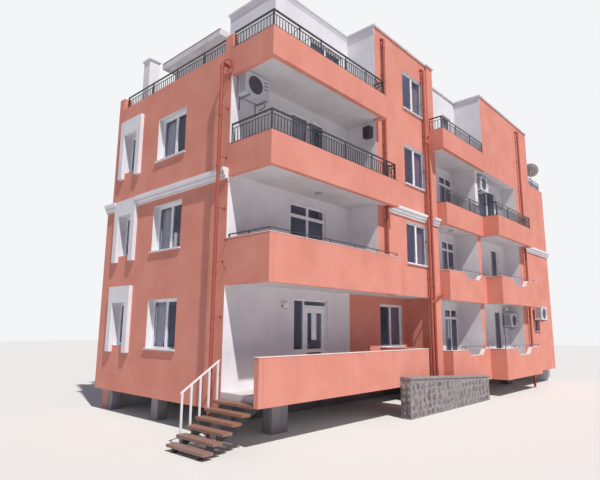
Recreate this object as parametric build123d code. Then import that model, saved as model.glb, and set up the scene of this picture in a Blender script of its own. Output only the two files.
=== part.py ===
from build123d import *
import os
from math import asin, cos, sin

# Three-storey villa with a set-back penthouse, raised on an open undercroft.
# Millimetres, +Z up. The model is drawn from the near front corner of the left facade,
# with +X to the right along the balcony front and +Y into the building,
# and is then moved so that the origin is the middle of the whole footprint, on the ground.

os.makedirs("parts", exist_ok=True)

# Storeys
undercroft_height = 900
storey_height = 2850
slab_thickness = 200
skirt_drop = 240
roof_parapet_height = 620

# Walls
wall_thickness = 300
parapet_thickness = 150

# Bays along the front, from left to right
corner_bay_width = 5220
projecting_bay_width = 3570
pier_width = 460
middle_bay_width = 3400
end_bay_width = 3860
end_block_width = 4410

# How far each bay stands forward of the corner bay's wall
projecting_bay_forward = 1150
pier_forward = 1215
middle_wall_forward = 450
end_wall_forward = 1050
end_block_forward = 1720

# Balconies
corner_balcony_depth = 1600
middle_balcony_depth = 1600
end_balcony_depth = 2260
middle_terrace_depth = 1800
ground_balcony_width = 7450
ground_parapet_lead = 250
corner_balcony_lap = 600
end_balcony_lap = 440
corner_parapet_heights = (1080, 1120, 810)
bay_parapet_heights = (960, 1060, 810)
terrace_parapet_height = 740
parapet_drop = 60
middle_notch = dict(start=1300, top=1570, bottom=1100, depth=220)
end_notch = dict(start=1200, top=1850, bottom=1250, depth=280)

# Depth of the building
upper_depth = 6250
rear_step = 290

# Penthouse
penthouse_left_setback = 1600
penthouse_rear_setback = 950
tall_part_depth = 2150
eave_overhang_left = 400
eave_overhang_rear = 200
wing_left_offset = 70
wing_length = 5990
wing_setback_wall_forward = 500
coping_thickness = 60
coping_overhang = 60
fascia_thickness = 30
fascia_height = 240

# Corner posts of the roof terrace
near_post = dict(x=200, y=300, height=1170)
far_post_width = 300

# Windows
frame_bar = 60
frame_depth = 70
glass_thickness = 24
window_reveal = 200
front_reveal = 60
door_head_height = 2380
transom_height = 300
left_window = dict(start=2060, width=1500, sill=1085, height=1445)
narrow_window = dict(start=4750, width=820, sill=1150, height=1330)
front_window = dict(start=1800, width=1450, sill=1090, height=1500)
corner_balcony_unit = dict(start=2360, width=1640)
middle_balcony_unit = dict(start=1830, width=1230)
end_balcony_unit = dict(start=2100, width=850)
end_top_unit = dict(start=1100, width=2000)
end_block_window = dict(start=1700, width=600, sill=1650, height=950)
penthouse_unit = dict(start=3200, width=1700)
middle_terrace_unit = dict(start=2250, width=800)
rear_window_count = 5
right_window_count = 2

# Window surrounds, sills and cornice
surround_jamb = 240
surround_head = 520
surround_leg = 200
surround_projection = 120
sill_projection = 60
sill_overhang = 40
sill_thickness = 40
cornice_height = 280
cornice_projection = 150
cornice_drop = 280
cornice_block_width = 350
cornice_block_extra = 40

# Entrance
entrance_start = 2570
sidelight_width = 380
door_width = 950
door_thickness = 60
door_clearance = 8
door_glass_sill = 930
door_stile = 150
door_mid_rail = 100
door_transom = 120
threshold = 30
handle_length = 130
handle_height = 1020
handle_standoff = 45
handle_bar = 18
hinge_radius = 9
hinge_length = 120
hinge_gap = 0.3
hinge_flap = 45
hinge_plate = 4
hinge_inset = 250

# Railings
rail_height = 580
terrace_rail_height = 510
low_rail_height = 130
rail_tube = 40
rail_thickness = 20
baluster_width = 14
baluster_spacing = 112
second_rail_drop = 100
corner_rail_posts = 6

# Pipes
downspout_radius = 50
downspout_standoff = 70
pipe_gap = 15
left_pipe_y = 100
pier_pipe_insets = (400, 160)
block_pipe_gap = 150
pipe_top_drop = 350
terrace_pipe_rise = 200

# Air conditioners
ac_length = 840
ac_depth = 340
ac_height = 620
ac_wall_gap = 100
ac_fan_radius = 260
ac_bracket_leg = 300
ac_corner = 25
bracket_bar = 40
corner_ac = dict(start=165, foot=2165)
upper_end_ac = dict(start=300, foot=2060)
lower_end_ac = dict(start=2980, foot=1810)
block_ac = dict(start=1330, foot=2180)

# Cabinet on the side of the projecting bay, lamps and dish
cabinet = dict(y=-1030, width=270, depth=200, foot=2280, height=385)
lamp_radius = 90
lamp_height = 220
lamp_arm = 120
entrance_lamp = dict(inset=470, height=2360)
end_lamp = dict(inset=620, drop=150)
dish_radius = 380
dish_thickness = 12
dish_curve = 800
dish_mast_radius = 20
dish_mast_height = 1150
dish_tilt = 25
dish_inset = 900

# Stair
tread_count = 6
tread_run = 245
tread_depth = 250
tread_length = 1320
tread_thickness = 60
stair_top_gap = 10
stair_side_gap = 50
stair_hook = 120
stringer_thickness = 50
stringer_height = 120
stringer_inset = 200
hand_rail_size = 40
hand_rail_height = 900
hand_rail_drop = 100
hand_rail_posts = 5

# Undercroft
undercroft_pier_width = 580
undercroft_pier_depth = 330
undercroft_pier_forward = 500
undercroft_wall_back = 1500
undercroft_wall_start = 1200
undercroft_front_piers = (0.06, 0.67, 0.83)
undercroft_side_piers = (0.05, 0.49, 0.9)
plinth_start = 5600
plinth_length = 5850
plinth_thickness = 350
plinth_rise = 250
plinth_fall = 300

# Chimney
chimney_size = 400
chimney_left = 600
chimney_rear_inset = 400
chimney_drop = 100

# Worked-out lines
projecting_x = corner_bay_width
pier_x = projecting_x + projecting_bay_width
middle_x = pier_x + pier_width
end_x = middle_x + middle_bay_width
block_x = end_x + end_bay_width
right_x = block_x + end_block_width
wing_x = end_x + wing_left_offset
wing_right = wing_x + wing_length
inner_right = right_x - wall_thickness
lower_depth = upper_depth + rear_step
corner_balcony_right = projecting_x + corner_balcony_lap
end_balcony_right = block_x + end_balcony_lap
penthouse_rear = upper_depth - penthouse_rear_setback
corner_inner = corner_balcony_depth - parapet_thickness
middle_inner = middle_balcony_depth - parapet_thickness
end_inner = end_balcony_depth - parapet_thickness
projecting_inner = projecting_bay_forward - wall_thickness
block_inner = end_block_forward - wall_thickness
pier_pipe_x = (pier_x - pier_pipe_insets[0], pier_x - pier_pipe_insets[1])


def level(storey):
    """Underside of the slab of a storey: 0 ground, 1 second floor, 2 third floor, 3 roof terrace."""
    return undercroft_height + storey * storey_height


def floor_top(storey):
    return level(storey) + slab_thickness


def block(x, y, z):
    """A box between two values on each axis."""
    size = Box(x[1] - x[0], y[1] - y[0], z[1] - z[0])
    return Pos((x[0] + x[1]) / 2, (y[0] + y[1]) / 2, (z[0] + z[1]) / 2) * size


terrace_top = level(3) + terrace_parapet_height
roof_top = level(4)
roof_underside = roof_top - slab_thickness
parapet_top = roof_top + roof_parapet_height


# Openings: each one has a place on its facade, a size, and lights between its bars.
# Its own axes are x to the right as seen from outside, y into the wall and z up.
def front_place(x, y, z):
    return Location((x, y, z))


def left_place(y, z):
    return Location((0, y, z), (0, 0, -90))


def right_place(y, z):
    return Location((right_x, y, z), (0, 0, 90))


def rear_place(x, y, z):
    return Location((x, y, z), (0, 0, 180))


def opening(place, width, height, columns=1, transom=0, reveal=window_reveal):
    return dict(place=place, width=width, height=height, columns=columns, transom=transom, reveal=reveal)


def lights(item):
    """The clear rectangles between the frame bars, as x and z ranges."""
    inner = item["width"] - 2 * frame_bar
    column = (inner - (item["columns"] - 1) * frame_bar) / item["columns"]
    bottom = frame_bar
    top = item["height"] - frame_bar
    rows = [(bottom, top)]
    if item["transom"]:
        rows = [(bottom, top - item["transom"] - frame_bar), (top - item["transom"], top)]
    cells = []
    for index in range(item["columns"]):
        start = frame_bar + index * (column + frame_bar)
        cells += [((start, start + column), row) for row in rows]
    return cells


def hole(item):
    margin = 2 * wall_thickness
    return item["place"] * block((0, item["width"]), (-margin, margin), (0, item["height"]))


def frame(item):
    depth = (item["reveal"], item["reveal"] + frame_depth)
    bars = block((0, item["width"]), depth, (0, item["height"]))
    for x, z in lights(item):
        bars -= block(x, depth, z)
    return item["place"] * bars


def glazing(item):
    middle = item["reveal"] + frame_depth / 2
    depth = (middle - glass_thickness / 2, middle + glass_thickness / 2)
    return [item["place"] * block(x, depth, z) for x, z in lights(item)]


def facade_windows(storey):
    """The windows of the left facade for a storey."""
    base = level(storey)
    wide = left_place(left_window["start"] + left_window["width"], base + left_window["sill"])
    slim = left_place(narrow_window["start"] + narrow_window["width"], base + narrow_window["sill"])
    return [
        opening(wide, left_window["width"], left_window["height"], columns=2),
        opening(slim, narrow_window["width"], narrow_window["height"]),
    ]


def rear_windows(storey):
    depth = lower_depth if storey < 2 else upper_depth
    pitch = right_x / rear_window_count
    result = []
    for index in range(rear_window_count):
        x = (index + 0.5) * pitch + left_window["width"] / 2
        place = rear_place(x, depth, level(storey) + left_window["sill"])
        result.append(opening(place, left_window["width"], left_window["height"], columns=2))
    return result


def right_windows(storey):
    pitch = upper_depth / right_window_count
    result = []
    for index in range(right_window_count):
        y = (index + 0.5) * pitch - left_window["width"] / 2
        place = right_place(y, level(storey) + left_window["sill"])
        result.append(opening(place, left_window["width"], left_window["height"], columns=2))
    return result


def balcony_unit(unit, bay_start, forward, storey, columns, transom=0):
    """A balcony door unit that stands on the floor."""
    place = front_place(bay_start + unit["start"], -forward, floor_top(storey))
    return opening(place, unit["width"], door_head_height, columns, transom, front_reveal)


storeys = (0, 1, 2)
upper_storeys = (1, 2)
left_openings = [item for storey in storeys for item in facade_windows(storey)]
rear_openings = [item for storey in storeys for item in rear_windows(storey)]
right_openings = [item for storey in storeys for item in right_windows(storey)]
corner_units = [
    balcony_unit(corner_balcony_unit, 0, 0, 1, 2, transom_height),
    balcony_unit(corner_balcony_unit, 0, 0, 2, 2),
]
middle_units = [
    balcony_unit(middle_balcony_unit, middle_x, middle_wall_forward, storey, 2, transom_height)
    for storey in storeys
]
end_units = [
    balcony_unit(end_balcony_unit, end_x, end_wall_forward, storey, 1) for storey in (0, 1)
] + [balcony_unit(end_top_unit, end_x, end_wall_forward, 2, 2)]


def front_window_at(storey, forward):
    place = front_place(projecting_x + front_window["start"], -forward, level(storey) + front_window["sill"])
    return opening(place, front_window["width"], front_window["height"], columns=2, reveal=front_reveal)


ground_front_window = front_window_at(0, 0)
block_window = opening(
    front_place(block_x + end_block_window["start"], -end_block_forward, level(0) + end_block_window["sill"]),
    end_block_window["width"], end_block_window["height"], reveal=front_reveal)
projecting_windows = [front_window_at(storey, projecting_bay_forward) for storey in (1, 2, 3)]
penthouse_openings = [
    opening(front_place(penthouse_unit["start"], 0, floor_top(3)), penthouse_unit["width"],
            door_head_height, columns=2, reveal=front_reveal),
]
middle_terrace_openings = [
    opening(front_place(middle_x + middle_terrace_unit["start"], -wing_setback_wall_forward, floor_top(3)),
            middle_terrace_unit["width"], door_head_height, reveal=front_reveal),
]

nodes = {}


def add(name, parts):
    """One named piece: a solid, or like solids that don't touch."""
    nodes[name] = parts if isinstance(parts, list) else [parts]


def cut(wall, openings):
    for item in openings:
        wall -= hole(item)
    return wall


# Floor slabs, as outlines seen from above
def plate(points, bottom, top):
    outline = make_face(Polyline(*points, close=True))
    return Pos(0, 0, bottom) * extrude(outline, top - bottom)


def balcony_outline():
    """The front edge shared by the slabs, from the pier's back to the right wall."""
    return [
        (pier_x, wall_thickness),
        (middle_x, wall_thickness),
        (middle_x, -middle_inner),
        (end_x + parapet_thickness, -middle_inner),
        (end_x + parapet_thickness, -end_inner),
        (end_balcony_right - parapet_thickness, -end_inner),
        (end_balcony_right - parapet_thickness, -end_block_forward),
        (block_x, -end_block_forward),
        (block_x, -block_inner),
        (inner_right, -block_inner),
    ]


def back_outline(depth):
    return [(inner_right, depth - wall_thickness), (wall_thickness, depth - wall_thickness), (wall_thickness, 0)]


ground_balcony_inner = ground_balcony_width - parapet_thickness
ground_front = [
    (0, 0),
    (0, -corner_inner),
    (ground_balcony_inner, -corner_inner),
    (ground_balcony_inner, 0),
    (pier_x, 0),
]
ground_outline = ground_front + balcony_outline() + back_outline(lower_depth)


def upper_outline(depth):
    start = [
        (parapet_thickness, 0),
        (parapet_thickness, -corner_inner),
        (corner_balcony_right - parapet_thickness, -corner_inner),
        (corner_balcony_right - parapet_thickness, -projecting_bay_forward),
        (projecting_x, -projecting_bay_forward),
        (projecting_x, -projecting_inner),
        (pier_x, -projecting_inner),
    ]
    return start + balcony_outline() + back_outline(depth)


terrace_inner = middle_terrace_depth - parapet_thickness
terrace_outline = [
    (parapet_thickness, 0),
    (parapet_thickness, -corner_inner),
    (projecting_x - parapet_thickness, -corner_inner),
    (projecting_x - parapet_thickness, -projecting_bay_forward),
    (projecting_x, -projecting_bay_forward),
    (projecting_x, -projecting_inner),
    (pier_x, -projecting_inner),
    (pier_x, wall_thickness),
    (middle_x, wall_thickness),
    (middle_x, -pier_forward),
    (pier_x + parapet_thickness, -pier_forward),
    (pier_x + parapet_thickness, -terrace_inner),
    (wing_x, -terrace_inner),
    (wing_x, -block_inner),
    (inner_right, -block_inner),
] + back_outline(upper_depth)

penthouse_left_inner = penthouse_left_setback + wall_thickness
wing_inner_left = wing_x + wall_thickness
wing_inner_right = wing_right - wall_thickness
middle_roof_inner = wing_setback_wall_forward - wall_thickness
eave_left = penthouse_left_setback - eave_overhang_left
eave_rear = penthouse_rear + eave_overhang_rear
penthouse_roof_outline = [
    (penthouse_left_inner, wall_thickness),
    (projecting_x + wall_thickness, wall_thickness),
    (projecting_x + wall_thickness, -projecting_inner),
    (pier_x, -projecting_inner),
    (pier_x, wall_thickness),
    (middle_x, wall_thickness),
    (middle_x, -middle_roof_inner),
    (wing_inner_left, -middle_roof_inner),
    (wing_inner_left, -block_inner),
    (wing_inner_right, -block_inner),
    (wing_inner_right, eave_rear),
    (eave_left, eave_rear),
    (eave_left, tall_part_depth),
    (penthouse_left_inner, tall_part_depth),
]

add("ground_floor_slab", plate(ground_outline, level(0), floor_top(0)))
add("second_floor_slab", plate(upper_outline(lower_depth), level(1), floor_top(1)))
add("third_floor_slab", plate(upper_outline(lower_depth), level(2), floor_top(2)))
add("roof_terrace_slab", plate(terrace_outline, level(3), floor_top(3)))
add("penthouse_roof_slab", plate(penthouse_roof_outline, roof_underside, roof_top))


# Outer walls
def side_panel(x, outline):
    """A wall that stands along Y, from its outline in Y and Z."""
    face = make_face(Polyline(*[(0, y, z) for y, z in outline], close=True))
    return Pos(x[0], 0, 0) * extrude(face, x[1] - x[0], dir=(1, 0, 0))


wall_bottom = level(0) - skirt_drop
lower_wall_top = floor_top(2)
left_outline = [
    (0, wall_bottom),
    (lower_depth, wall_bottom),
    (lower_depth, lower_wall_top),
    (upper_depth, lower_wall_top),
    (upper_depth, terrace_top),
    (0, terrace_top),
]
right_outline = [
    (-block_inner, 0),
    (lower_depth, 0),
    (lower_depth, lower_wall_top),
    (upper_depth, lower_wall_top),
    (upper_depth, terrace_top),
    (-block_inner, terrace_top),
]
add("left_wall", cut(side_panel((0, wall_thickness), left_outline), left_openings))
add("right_wall", cut(side_panel((inner_right, right_x), right_outline), right_openings))
between_sides = (wall_thickness, inner_right)
lower_rear = block(between_sides, (lower_depth - wall_thickness, lower_depth), (0, lower_wall_top))
upper_rear = block(between_sides, (upper_depth - wall_thickness, upper_depth), (lower_wall_top, terrace_top))
add("rear_walls", [
    cut(lower_rear, rear_openings[: 2 * rear_window_count]),
    cut(upper_rear, rear_openings[2 * rear_window_count:]),
])


# Front walls of the ground storey, split beside and over the entrance
def storey_wall(x, y, storey, openings=()):
    """A wall that stands on a slab and carries the next one."""
    return cut(block(x, y, (floor_top(storey), level(storey + 1))), openings)


door_opening_width = sidelight_width + door_width + 3 * frame_bar + 2 * door_clearance
entrance_end = entrance_start + door_opening_width
entrance_head = floor_top(0) + door_head_height
wall_line = (0, wall_thickness)
add("entrance_wall", [
    storey_wall((wall_thickness, entrance_start), wall_line, 0),
    storey_wall((entrance_end, pier_x), wall_line, 0, [ground_front_window]),
])
add("entrance_lintel", block((entrance_start, entrance_end), wall_line, (entrance_head, level(1))))

# Walls at the back of the balconies
middle_line = (-middle_wall_forward, wall_thickness - middle_wall_forward)
end_line = (-end_wall_forward, wall_thickness - end_wall_forward)
divider_x = (end_x - wall_thickness, end_x)
add("balcony_back_walls", [
    storey_wall((wall_thickness, projecting_x), wall_line, storey, corner_units) for storey in upper_storeys
] + [
    storey_wall((middle_x, divider_x[0]), middle_line, storey, middle_units) for storey in storeys
] + [
    storey_wall((end_x, block_x), end_line, storey, end_units) for storey in storeys
])
side_x = (projecting_x, projecting_x + wall_thickness)
divider_y = (-middle_inner, wall_thickness - middle_wall_forward)
add("balcony_cross_walls", [
    storey_wall(side_x, (-projecting_inner, 0), storey) for storey in upper_storeys
] + [
    block(side_x, (-projecting_inner, wall_thickness), (floor_top(3), parapet_top)),
] + [
    storey_wall(divider_x, divider_y, storey) for storey in storeys
] + [
    storey_wall((block_x, block_x + wall_thickness), (-block_inner, end_line[1]), storey)
    for storey in storeys
])

# Projecting bay, pier and end block
bay_face = (-projecting_bay_forward, -projecting_inner)
add("projecting_bay_front", cut(
    block((projecting_x, pier_x), bay_face, (level(1), parapet_top)), projecting_windows))
add("pier", block((pier_x, middle_x), (-pier_forward, wall_thickness), (0, parapet_top)))
block_face = (-end_block_forward, -block_inner)
add("end_block_front", cut(block((block_x, right_x), block_face, (wall_bottom, level(3))), [block_window]))

# Penthouse
penthouse_base = floor_top(3)
tall_left = [
    (0, penthouse_base),
    (penthouse_rear, penthouse_base),
    (penthouse_rear, roof_underside),
    (tall_part_depth, roof_underside),
    (tall_part_depth, parapet_top),
    (0, parapet_top),
]
middle_roof_line = (-wing_setback_wall_forward, -middle_roof_inner)
tall_z = (penthouse_base, parapet_top)
add("penthouse_front_walls", [
    cut(block((penthouse_left_inner, projecting_x), wall_line, tall_z), penthouse_openings),
    cut(block((middle_x, wing_x), middle_roof_line, tall_z), middle_terrace_openings),
])
add("wing_front_wall", block((wing_x, wing_right), block_face, (level(3), parapet_top)))
wing_right_outline = [
    (-block_inner, penthouse_base),
    (penthouse_rear, penthouse_base),
    (penthouse_rear, parapet_top),
    (-block_inner, parapet_top),
]
add("penthouse_side_walls", [
    side_panel((penthouse_left_setback, penthouse_left_inner), tall_left),
    block((wing_x, wing_inner_left), (-block_inner, -middle_roof_inner), tall_z),
    side_panel((wing_inner_right, wing_right), wing_right_outline),
])
add("penthouse_rear_wall", block((penthouse_left_inner, wing_inner_right),
                                 (penthouse_rear - wall_thickness, penthouse_rear),
                                 (penthouse_base, roof_underside)))


# Parapets: fronts and returns are separate panels that meet at the corners
def notched_front(x, y, z, notch):
    """A parapet front with a trapezium cut out of its top edge."""
    start = x[0] + notch["start"]
    middle = start + notch["top"] / 2
    outline = [
        (x[0], 0, z[0]),
        (x[1], 0, z[0]),
        (x[1], 0, z[1]),
        (start + notch["top"], 0, z[1]),
        (middle + notch["bottom"] / 2, 0, z[1] - notch["depth"]),
        (middle - notch["bottom"] / 2, 0, z[1] - notch["depth"]),
        (start, 0, z[1]),
        (x[0], 0, z[1]),
    ]
    return Pos(0, y[0], 0) * extrude(make_face(Polyline(*outline, close=True)), y[1] - y[0], dir=(0, 1, 0))


corner_front_y = (-corner_balcony_depth, -corner_inner)
middle_front_y = (-middle_balcony_depth, -middle_inner)
end_front_y = (-end_balcony_depth, -end_inner)
terrace_front_y = (-middle_terrace_depth, -terrace_inner)
corner_front_x = (0, corner_balcony_right)
middle_front_x = (middle_x, end_x)
end_front_x = (end_x, end_balcony_right)


def parapet_foot(storey):
    """The panels hang a little below the underside of their slab."""
    return level(storey) - parapet_drop


for storey, name in ((0, "ground"), (1, "second_floor")):
    corner_top = level(storey) + corner_parapet_heights[storey]
    top = level(storey) + bay_parapet_heights[storey]
    corner_low = level(0) if storey == 0 else parapet_foot(storey)
    low = wall_bottom if storey == 0 else parapet_foot(storey)
    first_x = (-ground_parapet_lead, ground_balcony_width) if storey == 0 else corner_front_x
    add(name + "_parapet_fronts", [
        block(first_x, corner_front_y, (corner_low, corner_top)),
        notched_front(middle_front_x, middle_front_y, (low, top), middle_notch),
        notched_front(end_front_x, end_front_y, (low, top), end_notch),
    ])
third_top = level(2) + bay_parapet_heights[2]
third_z = (parapet_foot(2), third_top)
add("third_floor_parapet_fronts", [
    block(corner_front_x, corner_front_y, third_z),
    block(middle_front_x, middle_front_y, third_z),
    block(end_front_x, end_front_y, third_z),
])
terrace_z = (parapet_foot(3), terrace_top)
add("roof_terrace_parapet_fronts", [
    block((0, projecting_x), corner_front_y, terrace_z),
    block((pier_x, wing_x), terrace_front_y, terrace_z),
    block((wing_right, right_x), block_face, (level(3), terrace_top)),
])


def side_return(x, y, z):
    return block((x, x + parapet_thickness), y, z)


returns = [side_return(ground_balcony_inner, (-corner_inner, 0), (level(0), level(0) + corner_parapet_heights[0]))]
for storey in storeys:
    top = level(storey) + bay_parapet_heights[storey]
    low = wall_bottom if storey == 0 else parapet_foot(storey)
    if storey:
        z = (low, level(storey) + corner_parapet_heights[storey])
        returns.append(side_return(0, (-corner_inner, 0), z))
        right_edge = corner_balcony_right - parapet_thickness
        returns.append(side_return(right_edge, (-corner_inner, -projecting_bay_forward), z))
    returns.append(side_return(end_x, (-end_inner, -middle_inner), (low, top)))
    right_edge = end_balcony_right - parapet_thickness
    returns.append(side_return(right_edge, (-end_inner, -end_block_forward), (low, top)))
returns.append(side_return(0, (-corner_inner, 0), terrace_z))
returns.append(side_return(projecting_x - parapet_thickness, (-corner_inner, -projecting_bay_forward), terrace_z))
returns.append(side_return(pier_x, (-terrace_inner, -pier_forward), terrace_z))
add("parapet_returns", returns)

# Posts at the ends of the left terrace railing
post_top = level(3) + near_post["height"]
add("terrace_corner_posts", [
    block((0, near_post["x"]), (0, near_post["y"]), (terrace_top, post_top)),
    block((0, far_post_width), (upper_depth - far_post_width, upper_depth), (terrace_top, post_top)),
])

# Copings on the tall roof parapets
coping_walls = [
    ((penthouse_left_setback, penthouse_left_inner), (0, tall_part_depth)),
    ((penthouse_left_setback, projecting_x + wall_thickness), wall_line),
    (side_x, (-projecting_bay_forward, wall_thickness)),
    ((projecting_x, pier_x), bay_face),
    ((pier_x, middle_x), (-pier_forward, wall_thickness)),
    ((middle_x, wing_inner_left), middle_roof_line),
    ((wing_x, wing_inner_left), (-end_block_forward, -middle_roof_inner)),
    ((wing_x, wing_right), block_face),
    ((wing_inner_right, wing_right), (-end_block_forward, penthouse_rear)),
]
coping = None
for x, y in coping_walls:
    strip = block((x[0] - coping_overhang, x[1] + coping_overhang),
                  (y[0] - coping_overhang, y[1] + coping_overhang),
                  (parapet_top, parapet_top + coping_thickness))
    coping = strip if coping is None else coping + strip
add("roof_coping", coping)

# Fascia boards of the low eave
fascia_z = (roof_top - fascia_height, roof_top)
add("eave_fascia", [
    block((eave_left - fascia_thickness, eave_left), (tall_part_depth, eave_rear + fascia_thickness), fascia_z),
    block((eave_left, wing_inner_right), (eave_rear, eave_rear + fascia_thickness), fascia_z),
])


# Railings: flat panels with balusters between a bottom and a second rail
def railing(length, height):
    """A panel in its own x and z, standing on z = 0."""
    bay_top = height - rail_tube - second_rail_drop
    panel = block((0, length), (-rail_thickness / 2, rail_thickness / 2), (0, height - rail_tube))
    count = max(1, round((length - baluster_width) / baluster_spacing))
    pitch = (length - baluster_width) / count
    bottom = baluster_width * 2
    gaps = []
    for index in range(count):
        x = (index * pitch + baluster_width, (index + 1) * pitch)
        gaps.append(block(x, (-rail_thickness, rail_thickness), (bottom, bay_top)))
    upper = (baluster_width, length - baluster_width)
    gaps.append(block(upper, (-rail_thickness, rail_thickness), (bay_top + baluster_width, height - rail_tube)))
    panel -= gaps
    top = block((0, length), (-rail_tube / 2, rail_tube / 2), (height - rail_tube, height))
    return panel + top


def front_railing(x, forward, bottom, height):
    y = -forward + parapet_thickness / 2
    return Pos(x[0], y, bottom) * railing(x[1] - x[0], height)


def side_railing(x, y, bottom, height):
    return Pos(x, y[0], bottom) * Rot(0, 0, 90) * railing(y[1] - y[0], height)


half = parapet_thickness / 2
post_half = rail_tube / 2
corner_rail_y = -corner_balcony_depth + half + post_half
end_rail_y = -end_balcony_depth + half + post_half
terrace_rail_y = -middle_terrace_depth + half + post_half
end_rail_line = -end_block_forward + wall_thickness / 2
add("front_railings", [
    front_railing((half - post_half, corner_balcony_right - half + post_half), corner_balcony_depth,
                  third_top, rail_height),
    front_railing((middle_x, end_x), middle_balcony_depth, third_top, rail_height),
    front_railing((end_x + half - post_half, end_balcony_right - half + post_half), end_balcony_depth,
                  third_top, rail_height),
    front_railing((half - post_half, projecting_x - half + post_half), corner_balcony_depth,
                  terrace_top, terrace_rail_height),
    front_railing((pier_x + half - post_half, wing_x), middle_terrace_depth, terrace_top, terrace_rail_height),
    Pos(wing_right, end_rail_line, terrace_top) * railing(right_x - wing_right, terrace_rail_height),
])
left_rail_x = wall_thickness / 2
add("side_railings", [
    side_railing(half, (corner_rail_y, 0), third_top, rail_height),
    side_railing(corner_balcony_right - half, (corner_rail_y, -projecting_bay_forward), third_top, rail_height),
    side_railing(end_x + half, (end_rail_y, -middle_inner), third_top, rail_height),
    side_railing(end_balcony_right - half, (end_rail_y, -end_block_forward), third_top, rail_height),
    side_railing(half, (corner_rail_y, 0), terrace_top, terrace_rail_height),
    side_railing(left_rail_x, (near_post["y"], upper_depth - far_post_width), terrace_top, terrace_rail_height),
    side_railing(projecting_x - half, (corner_rail_y, -projecting_bay_forward), terrace_top, terrace_rail_height),
    side_railing(pier_x + half, (terrace_rail_y, -pier_forward), terrace_top, terrace_rail_height),
])


def low_rail(x, forward, top, post_places):
    """A handrail on short posts along a solid parapet."""
    y = -forward + half
    thin = (y - rail_thickness / 2, y + rail_thickness / 2)
    rail = block(x, thin, (top + low_rail_height - rail_thickness, top + low_rail_height))
    for place in post_places:
        rail += block((place, place + rail_thickness), thin, (top, top + low_rail_height))
    return rail


def spaced(start, end, count):
    return [start + index * (end - rail_thickness - start) / (count - 1) for index in range(count)]


low_rails = []
corner_rail_end = corner_balcony_right - half
low_rails.append(low_rail((half, corner_rail_end), corner_balcony_depth, level(1) + corner_parapet_heights[1],
                          spaced(half, corner_rail_end, corner_rail_posts)))
for storey in (0, 1):
    top = level(storey) + bay_parapet_heights[storey]
    notch_left = middle_x + middle_notch["start"]
    notch_right = notch_left + middle_notch["top"]
    low_rails.append(low_rail((middle_x, end_x), middle_balcony_depth, top,
                              [middle_x, notch_left - half, notch_right + half, end_x - rail_thickness]))
    notch_left = end_x + end_notch["start"]
    notch_right = notch_left + end_notch["top"]
    low_rails.append(low_rail((end_x + half, end_balcony_right - half), end_balcony_depth, top,
                              [end_x + half, notch_left - half, notch_right + half,
                               end_balcony_right - half - rail_thickness]))
add("low_handrails", low_rails)


# Cornice: three bands, widest at the top
def cornice_profile(extra=0):
    """Outline in (projection, height) from the foot of the cornice."""
    step = cornice_projection / 3
    band = cornice_height / 4
    return [
        (0, 0),
        (step + extra, 0),
        (step + extra, band),
        (2 * step + extra, band * 1.4),
        (2 * step + extra, band * 2.4),
        (3 * step + extra, band * 2.8),
        (3 * step + extra, cornice_height),
        (0, cornice_height),
    ]


cornice_foot = level(2) + slab_thickness - cornice_drop - 50


def cornice_along_y(y, extra=0):
    points = [(-across, y[0], cornice_foot + up) for across, up in cornice_profile(extra)]
    return extrude(make_face(Polyline(*points, close=True)), y[1] - y[0], dir=(0, 1, 0))


def cornice_along_x(x, forward, extra=0):
    points = [(x[0], -forward - across, cornice_foot + up) for across, up in cornice_profile(extra)]
    return extrude(make_face(Polyline(*points, close=True)), x[1] - x[0], dir=(1, 0, 0))


surround_outer_start = narrow_window["start"] - surround_jamb
surround_outer_end = narrow_window["start"] + narrow_window["width"] + surround_jamb
bay_pipe_x = corner_balcony_right - parapet_thickness - pipe_gap - downspout_radius
block_pipe_x = end_balcony_right + block_pipe_gap
past_pipe = downspout_radius + pipe_gap
add("cornice", [
    cornice_along_y((cornice_block_width, surround_outer_start)),
    cornice_along_y((surround_outer_end, lower_depth)),
    cornice_along_x((corner_balcony_right, pier_pipe_x[0] - past_pipe), projecting_bay_forward),
    cornice_along_x((block_pipe_x + past_pipe, right_x), end_block_forward),
])
add("cornice_corner_blocks", [
    cornice_along_y((0, cornice_block_width), cornice_block_extra),
    cornice_along_x((pier_x, middle_x), pier_forward),
])


# White surrounds of the narrow windows: a head and two legs that run past the sill
def surround(storey):
    sill = level(storey) + narrow_window["sill"]
    head = sill + narrow_window["height"]
    low = sill - surround_leg
    start = narrow_window["start"]
    end = start + narrow_window["width"]
    outline = [
        (surround_outer_start, low),
        (start, low),
        (start, head),
        (end, head),
        (end, low),
        (surround_outer_end, low),
        (surround_outer_end, head + surround_head),
        (surround_outer_start, head + surround_head),
    ]
    return side_panel((-surround_projection, 0), outline)


add("window_surrounds", [surround(storey) for storey in storeys])


# Window sills: slabs in the openings with a wider nosing in front of the wall face
def sill_of(item):
    z = (0, sill_thickness)
    nosing = block((-sill_overhang, item["width"] + sill_overhang), (-sill_projection, 0), z)
    return item["place"] * (nosing + block((0, item["width"]), (0, item["reveal"]), z))


# Frames and glass
front_windows = projecting_windows + [ground_front_window, block_window]
windows = left_openings + rear_openings + right_openings + front_windows
doors = corner_units + middle_units + end_units + penthouse_openings + middle_terrace_openings
add("window_frames", [frame(item) for item in windows])
add("balcony_door_frames", [frame(item) for item in doors])

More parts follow.
